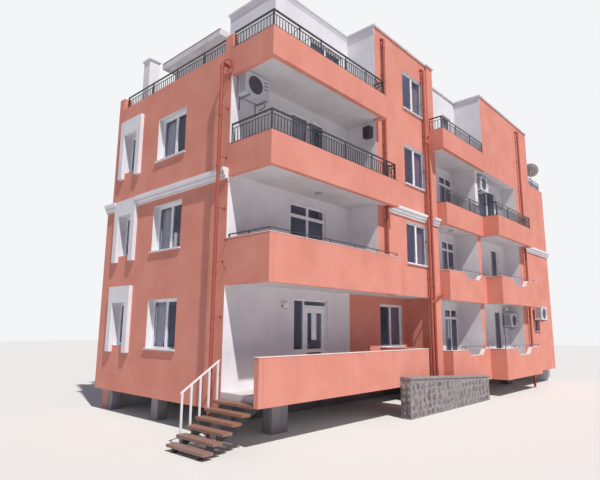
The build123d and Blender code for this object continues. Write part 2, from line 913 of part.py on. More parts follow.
# Entrance: a fixed frame with a sidelight, and a half-glazed leaf hung on the right
door_z = (floor_top(0), entrance_head)
frame_y = (front_reveal, front_reveal + frame_depth)
side_x0 = entrance_start + frame_bar
side_x1 = side_x0 + sidelight_width
leaf_x0 = side_x1 + frame_bar + door_clearance
leaf_x1 = leaf_x0 + door_width
entrance_frame = block((entrance_start, entrance_end), frame_y, door_z)
light_top = door_z[1] - frame_bar
doorway_top = light_top - door_transom - frame_bar
doorway_x = (side_x1 + frame_bar, entrance_end - frame_bar)
sidelight = ((side_x0, side_x1), (door_z[0] + door_glass_sill, light_top))
over_light = (doorway_x, (light_top - door_transom, light_top))
doorway = (doorway_x, (door_z[0] + threshold, doorway_top))
for x, z in (sidelight, over_light, doorway):
    entrance_frame -= block(x, frame_y, z)
hinge_x = leaf_x1 + door_clearance / 2
hinge_y = frame_y[1] + hinge_radius


def knuckle(z, side):
    """A barrel on the hinge line with a flap to one side: -1 for the leaf, 1 for the frame."""
    barrel = Pos(hinge_x, hinge_y, (z[0] + z[1]) / 2) * Cylinder(hinge_radius, z[1] - z[0])
    flap_x = sorted((hinge_x, hinge_x + side * hinge_flap))
    return barrel + block(flap_x, (frame_y[1], frame_y[1] + hinge_plate), z)


leaf_knuckles = []
hinge_middles = (hinge_inset, (doorway_top - floor_top(0)) / 2, doorway_top - floor_top(0) - hinge_inset)
for place in hinge_middles:
    foot = floor_top(0) + place - hinge_length / 2
    quarter = hinge_length / 4
    leaf_knuckles.append(knuckle((foot + quarter + hinge_gap, foot + 3 * quarter - hinge_gap), -1))
    entrance_frame += knuckle((foot, foot + quarter), 1)
    entrance_frame += knuckle((foot + 3 * quarter, foot + hinge_length), 1)
add("entrance_frame", entrance_frame)
glass_middle = front_reveal + frame_depth / 2
glass_y = (glass_middle - glass_thickness / 2, glass_middle + glass_thickness / 2)
panes = [pane for item in windows + doors for pane in glazing(item)]
add("window_glass", panes + [block(x, glass_y, z) for x, z in (sidelight, over_light)])
leaf_y = (frame_y[1] - door_thickness, frame_y[1])
leaf_z = (doorway[1][0] + door_clearance, doorway[1][1] - door_clearance)
leaf_light_x = (leaf_x0 + door_stile, leaf_x1 - door_stile)
leaf_lights = [
    (leaf_z[0] + door_stile, door_z[0] + door_glass_sill - door_mid_rail),
    (door_z[0] + door_glass_sill, leaf_z[1] - door_stile),
]
leaf = block((leaf_x0, leaf_x1), leaf_y, leaf_z)
for z in leaf_lights:
    leaf -= block(leaf_light_x, leaf_y, z)
for barrel in leaf_knuckles:
    leaf += barrel
add("entrance_door", leaf)
leaf_middle = (leaf_y[0] + leaf_y[1]) / 2
leaf_glass_y = (leaf_middle - glass_thickness / 2, leaf_middle + glass_thickness / 2)
add("entrance_door_glass", [block(leaf_light_x, leaf_glass_y, z) for z in leaf_lights])
handle_z = door_z[0] + handle_height
handle_x = leaf_x0 + door_stile / 2


def lever(face, direction):
    """A lever handle on one face of the leaf: a spindle and a level bar."""
    tip = face + direction * handle_standoff
    spindle_y = tuple(sorted((face, tip)))
    bar_y = tuple(sorted((tip - direction * handle_bar, tip)))
    spindle = block((handle_x - handle_bar / 2, handle_x + handle_bar / 2), spindle_y,
                    (handle_z - handle_bar / 2, handle_z + handle_bar / 2))
    bar = block((handle_x - handle_bar / 2, handle_x + handle_length), bar_y,
                (handle_z - handle_bar / 2, handle_z + handle_bar / 2))
    return spindle + bar


add("entrance_door_handles", [lever(leaf_y[0], -1), lever(leaf_y[1], 1)])


# Every window has a sill, but for the narrow ones in their surrounds
add("window_sills", [sill_of(item) for item in windows if item["width"] != narrow_window["width"]])


# Rainwater pipes, each clear of its wall and turned back into it at the top
def downspout(x, y, bottom, top, end):
    """A pipe that rises and turns into the wall with a bend."""
    path = FilletPolyline((x, y, bottom), (x, y, top), (end[0], end[1], top), radius=downspout_standoff)
    section = Plane(origin=(x, y, bottom), z_dir=(0, 0, 1)) * Circle(downspout_radius)
    return sweep(section, path=path)


def pipe_place(face):
    return -face - downspout_standoff - downspout_radius


def front_pipe(x, forward, bottom, top):
    return downspout(x, pipe_place(forward), bottom, top, (x, -forward))


front_top = parapet_top - pipe_top_drop
left_pipe_x = -cornice_projection - cornice_block_extra - pipe_gap - downspout_radius
between_slabs = level(2) - floor_top(1)
lower_bay_pipe = Pos(bay_pipe_x, pipe_place(projecting_bay_forward), floor_top(1) + between_slabs / 2)
add("downspouts", [
    downspout(left_pipe_x, left_pipe_y, 0, level(3) + terrace_pipe_rise, (0, left_pipe_y)),
    front_pipe(bay_pipe_x, projecting_bay_forward, floor_top(2), front_top),
    lower_bay_pipe * Cylinder(downspout_radius, between_slabs),
    front_pipe(pier_pipe_x[0], projecting_bay_forward, 0, front_top),
    front_pipe(pier_pipe_x[1], projecting_bay_forward, 0, level(3) + terrace_pipe_rise),
    front_pipe(block_pipe_x, end_block_forward, 0, front_top),
])


# Air conditioners on wall brackets
def air_conditioner():
    """Outdoor unit in its own axes: x along the wall, y out of it (negative), z up, feet at z = 0."""
    y = (-ac_wall_gap - ac_depth, -ac_wall_gap)
    case = block((0, ac_length), y, (bracket_bar, bracket_bar + ac_height))
    upright = case.edges().filter_by(Axis.Z)
    case = fillet(upright, ac_corner)
    fan_x = ac_length * 0.38
    fan_z = bracket_bar + ac_height / 2
    mouth = Pos(fan_x, y[0], fan_z) * Rot(90, 0, 0) * Cylinder(ac_fan_radius, 2 * ac_corner)
    hub = Pos(fan_x, y[0] + ac_corner / 2, fan_z) * Rot(90, 0, 0) * Cylinder(ac_fan_radius / 4, ac_corner)
    return case - mouth + hub


def wall_brackets():
    """A pair of angle brackets under a unit."""
    pair = []
    for x in (0.12 * ac_length, 0.82 * ac_length):
        arm = block((x, x + bracket_bar), (-ac_wall_gap - ac_depth, 0), (0, bracket_bar))
        leg = block((x, x + bracket_bar), (-bracket_bar / 4, 0), (-ac_bracket_leg, 0))
        pair.append(arm + leg)
    return pair


ac_places = [
    Location((corner_ac["start"], 0, level(2) + corner_ac["foot"])),
    Location((end_x + upper_end_ac["start"], -end_wall_forward, level(2) + upper_end_ac["foot"])),
    Location((end_x + lower_end_ac["start"], -end_wall_forward, level(0) + lower_end_ac["foot"])),
    Location((block_x + block_ac["start"], -end_block_forward, level(0) + block_ac["foot"])),
]
add("air_conditioners", [place * air_conditioner() for place in ac_places])
add("air_conditioner_brackets", [place * bracket for place in ac_places for bracket in wall_brackets()])

# Small cabinet on the side of the projecting bay
cabinet_foot = level(2) + cabinet["foot"]
add("wall_cabinet", block((projecting_x - cabinet["depth"], projecting_x),
                          (cabinet["y"], cabinet["y"] + cabinet["width"]),
                          (cabinet_foot, cabinet_foot + cabinet["height"])))


# Wall lamps: a short arm and a round shade under a flat cap
def wall_lamp():
    """In its own axes: the wall is at y = 0 and the lamp stands out of it."""
    shade = Pos(0, -lamp_arm, 0) * Cylinder(lamp_radius, lamp_height)
    cap = Pos(0, -lamp_arm, lamp_height / 2) * Cylinder(lamp_radius * 1.2, bracket_bar / 2)
    arm = block((-bracket_bar / 2, bracket_bar / 2), (-lamp_arm, 0), (0, bracket_bar))
    return shade + cap + arm


add("wall_lamps", [
    Location((entrance_start - entrance_lamp["inset"], 0, level(0) + entrance_lamp["height"])) * wall_lamp(),
    Location((block_x - end_lamp["inset"], -end_wall_forward, level(1) - end_lamp["drop"])) * wall_lamp(),
])


# Satellite dish on a mast that stands on the terrace parapet
def satellite_dish():
    """In its own axes: the foot of the mast is the origin and the dish looks along +X."""
    mast = Pos(0, 0, dish_mast_height / 2) * Cylinder(dish_mast_radius, dish_mast_height)
    rim = asin(dish_radius / dish_curve)
    rim_points = [(dish_curve * sin(share * rim), dish_curve - dish_curve * cos(share * rim)) for share in (0, 0.5, 1)]
    back = ThreePointArc(*[(across, 0, up) for across, up in rim_points])
    front = ThreePointArc(*[(across, 0, up + dish_thickness) for across, up in rim_points])
    bowl = revolve(make_face([back, Line(back @ 1, front @ 1), front, Line(front @ 0, back @ 0)]), Axis.Z)
    hub_radius = 1.5 * dish_mast_radius
    hub = Pos(0, 0, -hub_radius) * Cylinder(hub_radius, 3 * hub_radius)
    arm_end = dish_curve / 2
    arm = Pos(0, 0, arm_end / 2) * Box(dish_mast_radius, dish_mast_radius, arm_end)
    receiver = Pos(0, 0, arm_end) * Cylinder(2 * dish_mast_radius, 4 * dish_mast_radius)
    aimed = Rot(0, 90 - dish_tilt, 0) * Pos(0, 0, 2 * hub_radius) * (bowl + hub + arm + receiver)
    return mast + Pos(0, 0, dish_mast_height - hub_radius) * aimed


dish_x = right_x - dish_inset
add("satellite_dish", Pos(dish_x, -block_inner - 3 * dish_mast_radius, terrace_top) * satellite_dish())

# Entrance stair: separate treads on two steel stringers that rest on the ground
tread_rise = floor_top(0) / (tread_count + 1)
tread_y = (-stair_side_gap - tread_length, -stair_side_gap)


def tread_place(index):
    """Nosing and top of a tread, counted from the upper end."""
    return -stair_top_gap - tread_depth - index * tread_run, floor_top(0) - (index + 1) * tread_rise


treads = []
for index in range(tread_count):
    nosing, top = tread_place(index)
    treads.append(block((nosing, nosing + tread_depth), tread_y, (top - tread_thickness, top)))
add("stair_treads", treads)


def stringer(y):
    """A stepped steel plate hooked under the slab: each tread lies on one step of it."""
    upper = []
    for index in range(tread_count):
        nosing, top = tread_place(index)
        seat = top - tread_thickness
        upper += [(nosing + tread_depth, y, seat), (nosing + stair_top_gap, y, seat)]
    last_nosing = tread_place(tread_count - 1)[0] + stair_top_gap
    first_seat = tread_place(0)[1] - tread_thickness
    lower = [
        (last_nosing, y, 0),
        (last_nosing + stringer_height, y, 0),
        (stair_hook, y, first_seat - stringer_height),
        (stair_hook, y, level(0)),
        (-stair_top_gap, y, level(0)),
    ]
    outline = make_face(Polyline(*(upper + lower), close=True))
    return extrude(outline, stringer_thickness, dir=(0, 1, 0))


add("stair_stringers", [
    stringer(tread_y[0] + stringer_inset),
    stringer(tread_y[1] - stringer_inset - stringer_thickness),
])


# Handrail on the wall side: one post at the end of each tread and a sloping rail
def post_x(index):
    return tread_place(index)[0] + tread_depth / 2


rail_y = (tread_y[1], tread_y[1] + hand_rail_size)
slope = tread_rise / tread_run
rail_ends = (post_x(hand_rail_posts - 1) - hand_rail_size, post_x(0) + hand_rail_size)


def rail_height_at(x):
    return tread_place(0)[1] + hand_rail_height - (post_x(0) - x) * slope


rail_outline = [(x, rail_y[0], rail_height_at(x) - hand_rail_size) for x in rail_ends]
rail_outline += [(x, rail_y[0], rail_height_at(x)) for x in reversed(rail_ends)]
hand_rail = extrude(make_face(Polyline(*rail_outline, close=True)), hand_rail_size, dir=(0, 1, 0))
for index in range(hand_rail_posts):
    x = (post_x(index) - hand_rail_size / 2, post_x(index) + hand_rail_size / 2)
    foot = 0 if index == hand_rail_posts - 1 else tread_place(index)[1] - hand_rail_drop
    hand_rail += block(x, rail_y, (foot, rail_height_at(x[0]) - hand_rail_size / 2))
add("stair_handrail", hand_rail)

# Undercroft
undercroft_z = (0, level(0))
pier_y = (-undercroft_pier_forward, -undercroft_pier_forward + undercroft_pier_depth)
pier_starts = [share * right_x for share in undercroft_front_piers]
side_pier_starts = [share * lower_depth for share in undercroft_side_piers]
add("undercroft_piers", [
    block((x, x + undercroft_pier_width), pier_y, undercroft_z) for x in pier_starts
] + [
    block((wall_thickness, wall_thickness + undercroft_pier_depth), (y, y + undercroft_pier_depth), undercroft_z)
    for y in side_pier_starts
])
add("undercroft_wall", block((undercroft_wall_start, inner_right), (undercroft_wall_back, undercroft_wall_back + wall_thickness),
                             undercroft_z))
plinth_end = plinth_start + plinth_length
plinth_outline = make_face(Polyline(
    (plinth_start, 0, 0),
    (plinth_end, 0, 0),
    (plinth_end, 0, level(0) + plinth_rise - plinth_fall),
    (plinth_start, 0, level(0) + plinth_rise),
    close=True))
plinth_back = -middle_balcony_depth
add("stone_plinth", Pos(0, plinth_back - plinth_thickness, 0) * extrude(plinth_outline, plinth_thickness, dir=(0, 1, 0)))

# Chimney beside the low eave
chimney_back = upper_depth - chimney_rear_inset
add("chimney", block((chimney_left, chimney_left + chimney_size), (chimney_back - chimney_size, chimney_back),
                     (floor_top(3), roof_top - chimney_drop)))

# The origin is the middle of the footprint on the ground
whole = Compound(children=[solid for parts in nodes.values() for part in parts for solid in part.solids()])
box = whole.bounding_box()
to_origin = Pos(-(box.min.X + box.max.X) / 2, -(box.min.Y + box.max.Y) / 2, -box.min.Z)
for name, parts in nodes.items():
    solids = [to_origin * solid for part in parts for solid in part.solids()]
    piece = solids[0] if len(solids) == 1 else Compound(children=solids)
    export_step(piece, "parts/" + name + ".step")
hinge_line = to_origin * Pos(hinge_x, hinge_y, floor_top(0))
print("nodes", len(nodes), "size", box.size)
print("origin moved by", to_origin.position)
print("entrance hinge", hinge_line.position)
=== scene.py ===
from math import cos, pi, radians, sin
from random import Random

import bpy
from mathutils import Matrix, Vector


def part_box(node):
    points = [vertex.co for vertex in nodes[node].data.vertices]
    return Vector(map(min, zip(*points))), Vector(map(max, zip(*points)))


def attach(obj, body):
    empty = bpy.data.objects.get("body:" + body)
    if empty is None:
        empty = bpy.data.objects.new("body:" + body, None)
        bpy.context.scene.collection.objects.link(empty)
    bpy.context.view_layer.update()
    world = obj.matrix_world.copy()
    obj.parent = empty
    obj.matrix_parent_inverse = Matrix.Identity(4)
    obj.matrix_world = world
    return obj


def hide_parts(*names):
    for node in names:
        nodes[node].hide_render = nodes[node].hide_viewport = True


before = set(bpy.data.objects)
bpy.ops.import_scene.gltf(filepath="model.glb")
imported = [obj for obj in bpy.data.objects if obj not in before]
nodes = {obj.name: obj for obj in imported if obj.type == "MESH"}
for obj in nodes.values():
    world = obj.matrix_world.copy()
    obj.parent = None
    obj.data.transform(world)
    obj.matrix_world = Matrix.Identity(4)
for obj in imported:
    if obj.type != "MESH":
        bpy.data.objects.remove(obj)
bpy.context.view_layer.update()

# Places below are measured in metres from the near front corner of the left facade:
# x to the right along the balcony front, y into the building, z up from the underside of the ground slab.
CORNER = Vector((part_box("left_wall")[0].x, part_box("left_wall")[0].y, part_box("ground_floor_slab")[0].z))
STOREY = 2.85
SLAB = 0.2
WALL = 0.3
PARAPET = 0.15
REVEAL = 0.2
FRONT_REVEAL = 0.06
FRAME_BAR = 0.06
FRAME_DEPTH = 0.07
BAY_X = 5.22
PIER_X = 8.79
MIDDLE_X = 9.25
END_X = 12.65
WING_X = 12.72
BLOCK_X = 16.51
RIGHT_X = 20.92
WING_RIGHT = 18.71
BAY_Y = -1.15
PIER_Y = -1.215
MIDDLE_WALL_Y = -0.45
END_WALL_Y = -1.05
BLOCK_Y = -1.72
CORNER_FRONT_Y = -1.6
MIDDLE_FRONT_Y = -1.6
END_FRONT_Y = -2.26
TERRACE_FRONT_Y = -1.8
CORNER_RIGHT = 5.82
END_RIGHT = 16.95
UPPER_DEPTH = 6.25
LOWER_DEPTH = 6.54
CORNER_PARAPETS = (1.08, 1.12, 0.81, 0.74)
BAY_PARAPETS = (0.96, 1.06, 0.81, 0.74)
HEAD_HEIGHT = 2.38
TRANSOM = 0.3
ROOF_TOP = 4 * STOREY
PARAPET_TOP = ROOF_TOP + 0.62
LOW_RAIL_HEIGHT = 0.13


def at(x, y, z):
    return CORNER + Vector((x, y, z))


def level(storey):
    return storey * STOREY


# Camera at the photograph's angle
CAMERA_YAW = radians(42.474)
CAMERA_PITCH = radians(10.096)
CAMERA_ROLL = radians(0.496)
CAMERA_PLACE = (-7.825, -9.723, 1.751)
ahead = Vector((cos(CAMERA_YAW), sin(CAMERA_YAW), 0))
looking = ahead * cos(CAMERA_PITCH) + Vector((0, 0, sin(CAMERA_PITCH)))
level_right = Vector((ahead.y, -ahead.x, 0))
level_up = level_right.cross(looking)
right = level_right * cos(CAMERA_ROLL) + level_up * sin(CAMERA_ROLL)
up = level_up * cos(CAMERA_ROLL) - level_right * sin(CAMERA_ROLL)
bpy.ops.object.camera_add()
camera = bpy.context.object
camera.name = "camera"
turned = Matrix((right, up, -looking)).transposed().to_4x4()
camera.matrix_world = Matrix.Translation(at(*CAMERA_PLACE)) @ turned
camera.data.sensor_width = 36
camera.data.lens = 29.48
camera.data.clip_end = 300
camera.data.dof.use_dof = False
bpy.context.scene.camera = camera
bpy.context.scene.view_settings.view_transform = "Standard"


# Materials
def paint(hex_text):
    """An sRGB hex colour as the linear values that the shader wants."""
    channels = [int(hex_text[i:i + 2], 16) / 255 for i in (1, 3, 5)]
    linear = [c / 12.92 if c <= 0.04045 else ((c + 0.055) / 1.055) ** 2.4 for c in channels]
    return (*linear, 1)


def output_of(value):
    """A node stands for its first output."""
    return value.outputs[0] if isinstance(value, bpy.types.Node) else value


def add_node(tree, kind, inputs=None, stops=None, **settings):
    """One node with its settings. Each input is a link from another node's output, or a plain value.
    A colour ramp also gets its stops, as places and hex colours."""
    made = tree.nodes.new("ShaderNode" + kind)
    for name, value in settings.items():
        setattr(made, name, value)
    if stops:
        for place, _ in stops[2:]:
            made.color_ramp.elements.new(place)
        for element, (place, colour) in zip(made.color_ramp.elements, stops):
            element.position = place
            element.color = paint(colour)
    for name, value in (inputs or {}).items():
        value = output_of(value)
        if isinstance(value, bpy.types.NodeSocket):
            tree.links.new(value, made.inputs[name])
        else:
            made.inputs[name].default_value = value
    return made


def new_material(name, colour, roughness, **more):
    """An empty finish: the material, its tree and the object's own coordinates. More settings of its shader
    are named with underscores for spaces."""
    made = bpy.data.materials.new(name)
    made.use_nodes = True
    made.diffuse_color = paint(colour)
    inputs = made.node_tree.nodes["Principled BSDF"].inputs
    inputs["Base Color"].default_value = paint(colour)
    inputs["Roughness"].default_value = roughness
    for key, value in more.items():
        inputs[key.replace("_", " ")].default_value = value
    return made, made.node_tree, add_node(made.node_tree, "TexCoord").outputs["Object"]


def sized(coords, millimetres, **more):
    """The inputs of a pattern whose patches are about so many millimetres across."""
    return {"Vector": coords, "Scale": 1000 / millimetres, **more}


def finish_with(material, colour, height=None, strength=0.2, depth=1.0):
    """The colour and the surface relief, whose depth is in millimetres, go to the shader."""
    tree = material.node_tree
    shader = tree.nodes["Principled BSDF"]
    tree.links.new(output_of(colour), shader.inputs["Base Color"])
    if height:
        relief = add_node(tree, "Bump", {"Height": height, "Strength": strength, "Distance": depth / 1000})
        tree.links.new(relief.outputs["Normal"], shader.inputs["Normal"])
    return material


SALMON = ((0.3, "#D58A79"), (0.52, "#DB9181"), (0.75, "#DF9887"))
WHITE = ((0.3, "#DCDAE0"), (0.52, "#E4E2E7"), (0.75, "#EAE9ED"))
EDGE = 0.004
RED_EDGE = 0.045


def render_coat(name, first, second=None, edges=None, join="MAXIMUM", upper=False):
    """Trowelled masonry render with matt paint: soft cloudy patches from the trowel, very faint runs of dust
    below the copings and a fine sand grain. A second paint starts past any given edge of the wall, or past
    all of them where join is MULTIPLY. An edge is an axis, a side (1 above, -1 below) and a place on it.
    Where upper is set, the second paint stops at the roof terrace."""
    made, tree, coords = new_material(name, first[1][1], 0.88, Specular_IOR_Level=0.25)
    patches = add_node(tree, "TexNoise", sized(coords, 900, Detail=3.0))
    colour = add_node(tree, "ValToRGB", {"Fac": patches}, first)
    if second:
        xyz = add_node(tree, "SeparateXYZ", {"Vector": coords})
        there = None
        for axis, side, place in edges:
            compare = "GREATER_THAN" if side > 0 else "LESS_THAN"
            past = add_node(tree, "Math", {0: xyz.outputs[axis], 1: place}, operation=compare)
            there = add_node(tree, "Math", {0: there, 1: past}, operation=join) if there else past
        if upper:
            terrace = CORNER.z + level(3)
            below = add_node(tree, "Math", {0: xyz.outputs["Z"], 1: terrace}, operation="LESS_THAN")
            there = add_node(tree, "Math", {0: there, 1: below}, operation="MULTIPLY")
        other = add_node(tree, "ValToRGB", {"Fac": patches}, second)
        colour = add_node(tree, "Mix", {0: there, 6: colour, 7: other}, data_type="RGBA").outputs[2]
    tall = add_node(tree, "Mapping", {"Vector": coords, "Scale": (1.0, 1.0, 0.12)})
    runs = add_node(tree, "TexNoise", sized(tall, 260, Detail=3.0))
    dust = add_node(tree, "MapRange", {
        "Value": runs, "From Min": 0.55, "From Max": 0.8, "To Min": 0.0, "To Max": 0.07})
    dusty = {0: dust, 6: colour, 7: paint("#8E7E7A")}
    shown = add_node(tree, "Mix", dusty, data_type="RGBA", blend_type="MULTIPLY")
    # The sand grain is drawn at 14 mm, coarser than real, so that it shows from across the street.
    sand = add_node(tree, "TexNoise", sized(coords, 14))
    return finish_with(made, shown.outputs[2], sand, 0.22, 2.0)


salmon_render = render_coat("salmon_masonry_paint", SALMON)
white_render = render_coat("white_masonry_paint", WHITE)

# Reveals, and the ends of walls that show beside a balcony, are white
near, far = CORNER.x + EDGE, CORNER.x + RIGHT_X - EDGE
left_wall_paint = render_coat("left_facade_paint", SALMON, WHITE, [(0, 1, near)], upper=True)
right_wall_paint = render_coat("right_facade_paint", SALMON, WHITE, [(0, -1, far)], upper=True)
rear_wall_paint = render_coat("rear_facade_paint", SALMON, WHITE, [(1, -1, CORNER.y + UPPER_DEPTH - EDGE)])
bay_paint, wing_paint = [
    render_coat(name, SALMON, WHITE, [(1, 1, CORNER.y + face_y + EDGE), (0, -1, CORNER.x + left_x + EDGE)])
    for name, face_y, left_x in (("projecting_bay_paint", BAY_Y, BAY_X), ("wing_paint", BLOCK_Y, WING_X))
]
block_paint = render_coat("end_block_paint", SALMON, WHITE, [(0, -1, CORNER.x + BLOCK_X + EDGE)])
edges = [(0, 1, CORNER.x + BAY_X), (1, -1, CORNER.y + EDGE)]
entrance_wall_paint = render_coat("entrance_wall_paint", WHITE, SALMON, edges, join="MULTIPLY")
edges = [(1, -1, CORNER.y + MIDDLE_FRONT_Y + PARAPET + EDGE), (2, -1, CORNER.z + level(2))]
cross_wall_paint = render_coat("cross_wall_paint", WHITE, SALMON, edges, join="MULTIPLY")


def slab_finish():
    """Balcony slabs: grey-white painted soffits and edges, and pale 330 mm floor tiles with grey joints."""
    made, tree, coords = new_material("painted_concrete_and_floor_tiles", "#D5D1D3", 0.75)
    height = add_node(tree, "SeparateXYZ", {"Vector": coords}).outputs["Z"]
    from_first = add_node(tree, "Math", {0: height, 1: CORNER.z - 0.01}, operation="SUBTRACT")
    in_storey = add_node(tree, "Math", {0: from_first, 1: STOREY}, operation="MODULO")
    over = add_node(tree, "Math", {0: in_storey, 1: SLAB}, operation="GREATER_THAN")
    below = add_node(tree, "Math", {0: in_storey, 1: SLAB + 0.1}, operation="LESS_THAN")
    top = add_node(tree, "Math", {0: over, 1: below}, operation="MULTIPLY")
    clouds = add_node(tree, "TexNoise", sized(coords, 700, Detail=3.0))
    greys = [(0.3, "#CDC9CC"), (0.55, "#D6D3D6"), (0.8, "#DEDBDE")]
    soffit = add_node(tree, "ValToRGB", {"Fac": clouds}, greys)
    tiles = add_node(tree, "TexBrick", {
        "Vector": coords, "Color1": paint("#D9D4D2"), "Color2": paint("#CFC9C7"), "Mortar": paint("#B4AEAC"),
        "Scale": 1.0, "Mortar Size": 0.004, "Brick Width": 0.33, "Row Height": 0.33}, offset=0.0)
    shown = add_node(tree, "Mix", {0: top, 6: soffit, 7: tiles}, data_type="RGBA")
    joints = add_node(tree, "Math", {0: top, 1: tiles.outputs["Fac"]}, operation="MULTIPLY")
    grain = add_node(tree, "TexNoise", sized(coords, 25))
    relief = add_node(tree, "Math", {0: grain, 1: joints}, operation="SUBTRACT")
    return finish_with(made, shown.outputs[2], relief, 0.25, 2.0)


def metal_paint(name, colour, dull, roughness=0.45, millimetres=120, metallic=0.0):
    """Brushed-on gloss paint over steel: smooth, with duller weathered patches."""
    made, tree, coords = new_material(name, colour, roughness, Metallic=metallic)
    patches = add_node(tree, "TexNoise", sized(coords, millimetres, Detail=3.0))
    shades = add_node(tree, "ValToRGB", {"Fac": patches}, [(0.35, colour), (0.62, colour), (0.8, dull)])
    wear = add_node(tree, "MapRange", {
        "Value": patches, "From Min": 0.3, "From Max": 0.8,
        "To Min": roughness - 0.1, "To Max": roughness + 0.2})
    tree.links.new(wear.outputs["Result"], tree.nodes["Principled BSDF"].inputs["Roughness"])
    brush = add_node(tree, "TexNoise", sized(coords, 30))
    return finish_with(made, shades, brush, 0.08, 1.0)


def window_plastic():
    """Extruded white PVC: even, slightly glossy, with faint random patches of dust."""
    made, tree, coords = new_material("white_pvc_extrusion", "#EEF0F3", 0.32)
    dust = add_node(tree, "TexNoise", sized(coords, 160, Detail=3.0))
    shades = add_node(tree, "ValToRGB", {"Fac": dust}, [(0.4, "#F0F1F5"), (0.6, "#E8E9ED"), (0.8, "#D5D5D7")])
    return finish_with(made, shades)


def window_glass():
    """Double glazing over dark rooms: grey-blue, partly clear, sharp reflections, faintly bowed panes."""
    made, tree, coords = new_material("double_glazing", "#3B4260", 0.04, IOR=1.5, Alpha=0.24)
    clouds = add_node(tree, "TexNoise", sized(coords, 1200, Detail=1.0))
    shades = add_node(tree, "ValToRGB", {"Fac": clouds}, [(0.35, "#545B80"), (0.65, "#767EA6")])
    bow = add_node(tree, "TexNoise", sized(coords, 600, Detail=0.0))
    return finish_with(made, shades, bow, 0.05, 3.0)


def cloth(name, colours):
    """Curtain cloth: matt weave, drawn at 6 mm so that it shows at all, with paler and darker lengths."""
    made, tree, coords = new_material(name, colours[1], 0.95, Sheen_Weight=0.2)
    hung = add_node(tree, "Mapping", {"Vector": coords, "Scale": (1.0, 1.0, 0.1)})
    lengths = add_node(tree, "TexNoise", sized(hung, 150))
    shades = add_node(tree, "ValToRGB", {"Fac": lengths}, [(0.3, colours[0]), (0.7, colours[1])])
    weave = add_node(tree, "TexNoise", sized(coords, 6))
    return finish_with(made, shades, weave, 0.2, 0.5)


def timber():
    """Oiled softwood treads: brown grain along the board, greyer where feet and rain have worn it."""
    made, tree, coords = new_material("oiled_pine", "#8A5C48", 0.6)
    along = add_node(tree, "Mapping", {"Vector": coords, "Scale": (9.0, 0.7, 9.0)})
    grain = add_node(tree, "TexNoise", sized(along, 45, Detail=4.0, Roughness=0.65))
    browns = [(0.3, "#6B4436"), (0.5, "#8F5F49"), (0.7, "#A97A60")]
    boards = add_node(tree, "ValToRGB", {"Fac": grain}, browns)
    worn = add_node(tree, "TexNoise", sized(coords, 300))
    height = add_node(tree, "SeparateXYZ", {"Vector": coords}).outputs["Z"]
    low = add_node(tree, "MapRange", {
        "Value": height, "From Min": 0.15, "From Max": 0.7, "To Min": 0.35, "To Max": 0.0})
    share = add_node(tree, "MapRange", {
        "Value": worn, "From Min": 0.5, "From Max": 0.8, "To Min": 0.05, "To Max": 0.6})
    grey = add_node(tree, "Math", {0: low, 1: share}, operation="ADD", use_clamp=True)
    shown = add_node(tree, "Mix", {0: grey, 6: boards, 7: paint("#8F8582")}, data_type="RGBA")
    return finish_with(made, shown.outputs[2], grain, 0.3, 1.5)


def rubble_stone():
    """Split field stone: grey to mauve and brown, changing from stone to stone, rough and slightly mossy."""
    made, tree, coords = new_material("split_field_stone", "#7C7478", 0.9)
    cells = add_node(tree, "TexVoronoi", sized(coords, 380))
    tone = add_node(tree, "SeparateColor", {"Color": cells.outputs["Color"]}).outputs["Red"]
    greys = [(0.0, "#655E63"), (0.35, "#7E777C"), (0.6, "#928A89"), (0.8, "#73696E"), (1.0, "#A19A98")]
    shades = add_node(tree, "ValToRGB", {"Fac": tone}, greys)
    speck = add_node(tree, "TexNoise", sized(coords, 30, Detail=5.0, Roughness=0.7))
    share = add_node(tree, "Math", {0: speck, 1: 0.6}, operation="MULTIPLY")
    shown = add_node(tree, "Mix", {0: share, 6: shades, 7: paint("#565056")}, data_type="RGBA")
    chips = add_node(tree, "TexNoise", sized(coords, 60, Detail=6.0, Roughness=0.7))
    return finish_with(made, shown.outputs[2], chips, 0.8, 12.0)


def mineral(name, colours, millimetres, grain, strength, depth, roughness=0.9):
    """Mortar and float-finished concrete: cloudy greys over a gritty face with pores."""
    made, tree, coords = new_material(name, colours[1], roughness)
    clouds = add_node(tree, "TexNoise", sized(coords, millimetres, Detail=5.0))
    shades = add_node(tree, "ValToRGB", {"Fac": clouds}, list(zip((0.3, 0.55, 0.8), colours)))
    pores = add_node(tree, "TexNoise", sized(coords, grain, Detail=3.0))
    return finish_with(made, shades, pores, strength, depth)


def rail_enamel():
    """Black enamel on the railings, painted grey past the pier as painted glare of the sun on the bars, dark
    blue on the end block's terrace.
    """
    made = metal_paint("black_rail_enamel", "#2C2E36", "#4A494F", 0.3)
    tree = made.node_tree
    black = tree.nodes["Principled BSDF"].inputs["Base Color"].links[0].from_socket
    coords = add_node(tree, "TexCoord").outputs["Object"]
    xyz = add_node(tree, "SeparateXYZ", {"Vector": coords}).outputs
    right = add_node(tree, "Math", {0: xyz["X"], 1: CORNER.x + WING_RIGHT - 0.1}, operation="GREATER_THAN")
    high = add_node(tree, "Math", {0: xyz["Z"], 1: CORNER.z + level(3)}, operation="GREATER_THAN")
    there = add_node(tree, "Math", {0: right, 1: high}, operation="MULTIPLY")
    # Painted glare: past the pier the bars are painted grey for the sun glaring on them.
    past_pier = add_node(tree, "Math", {0: xyz["X"], 1: CORNER.x + MIDDLE_X}, operation="GREATER_THAN")
    painted_glare_grey = add_node(tree, "Mix", {0: past_pier, 6: black, 7: paint("#4E5058")}, data_type="RGBA").outputs[2]
    shown = add_node(tree, "Mix", {0: there, 6: painted_glare_grey, 7: paint("#2B3C6E")}, data_type="RGBA")
    return finish_with(made, shown.outputs[2])


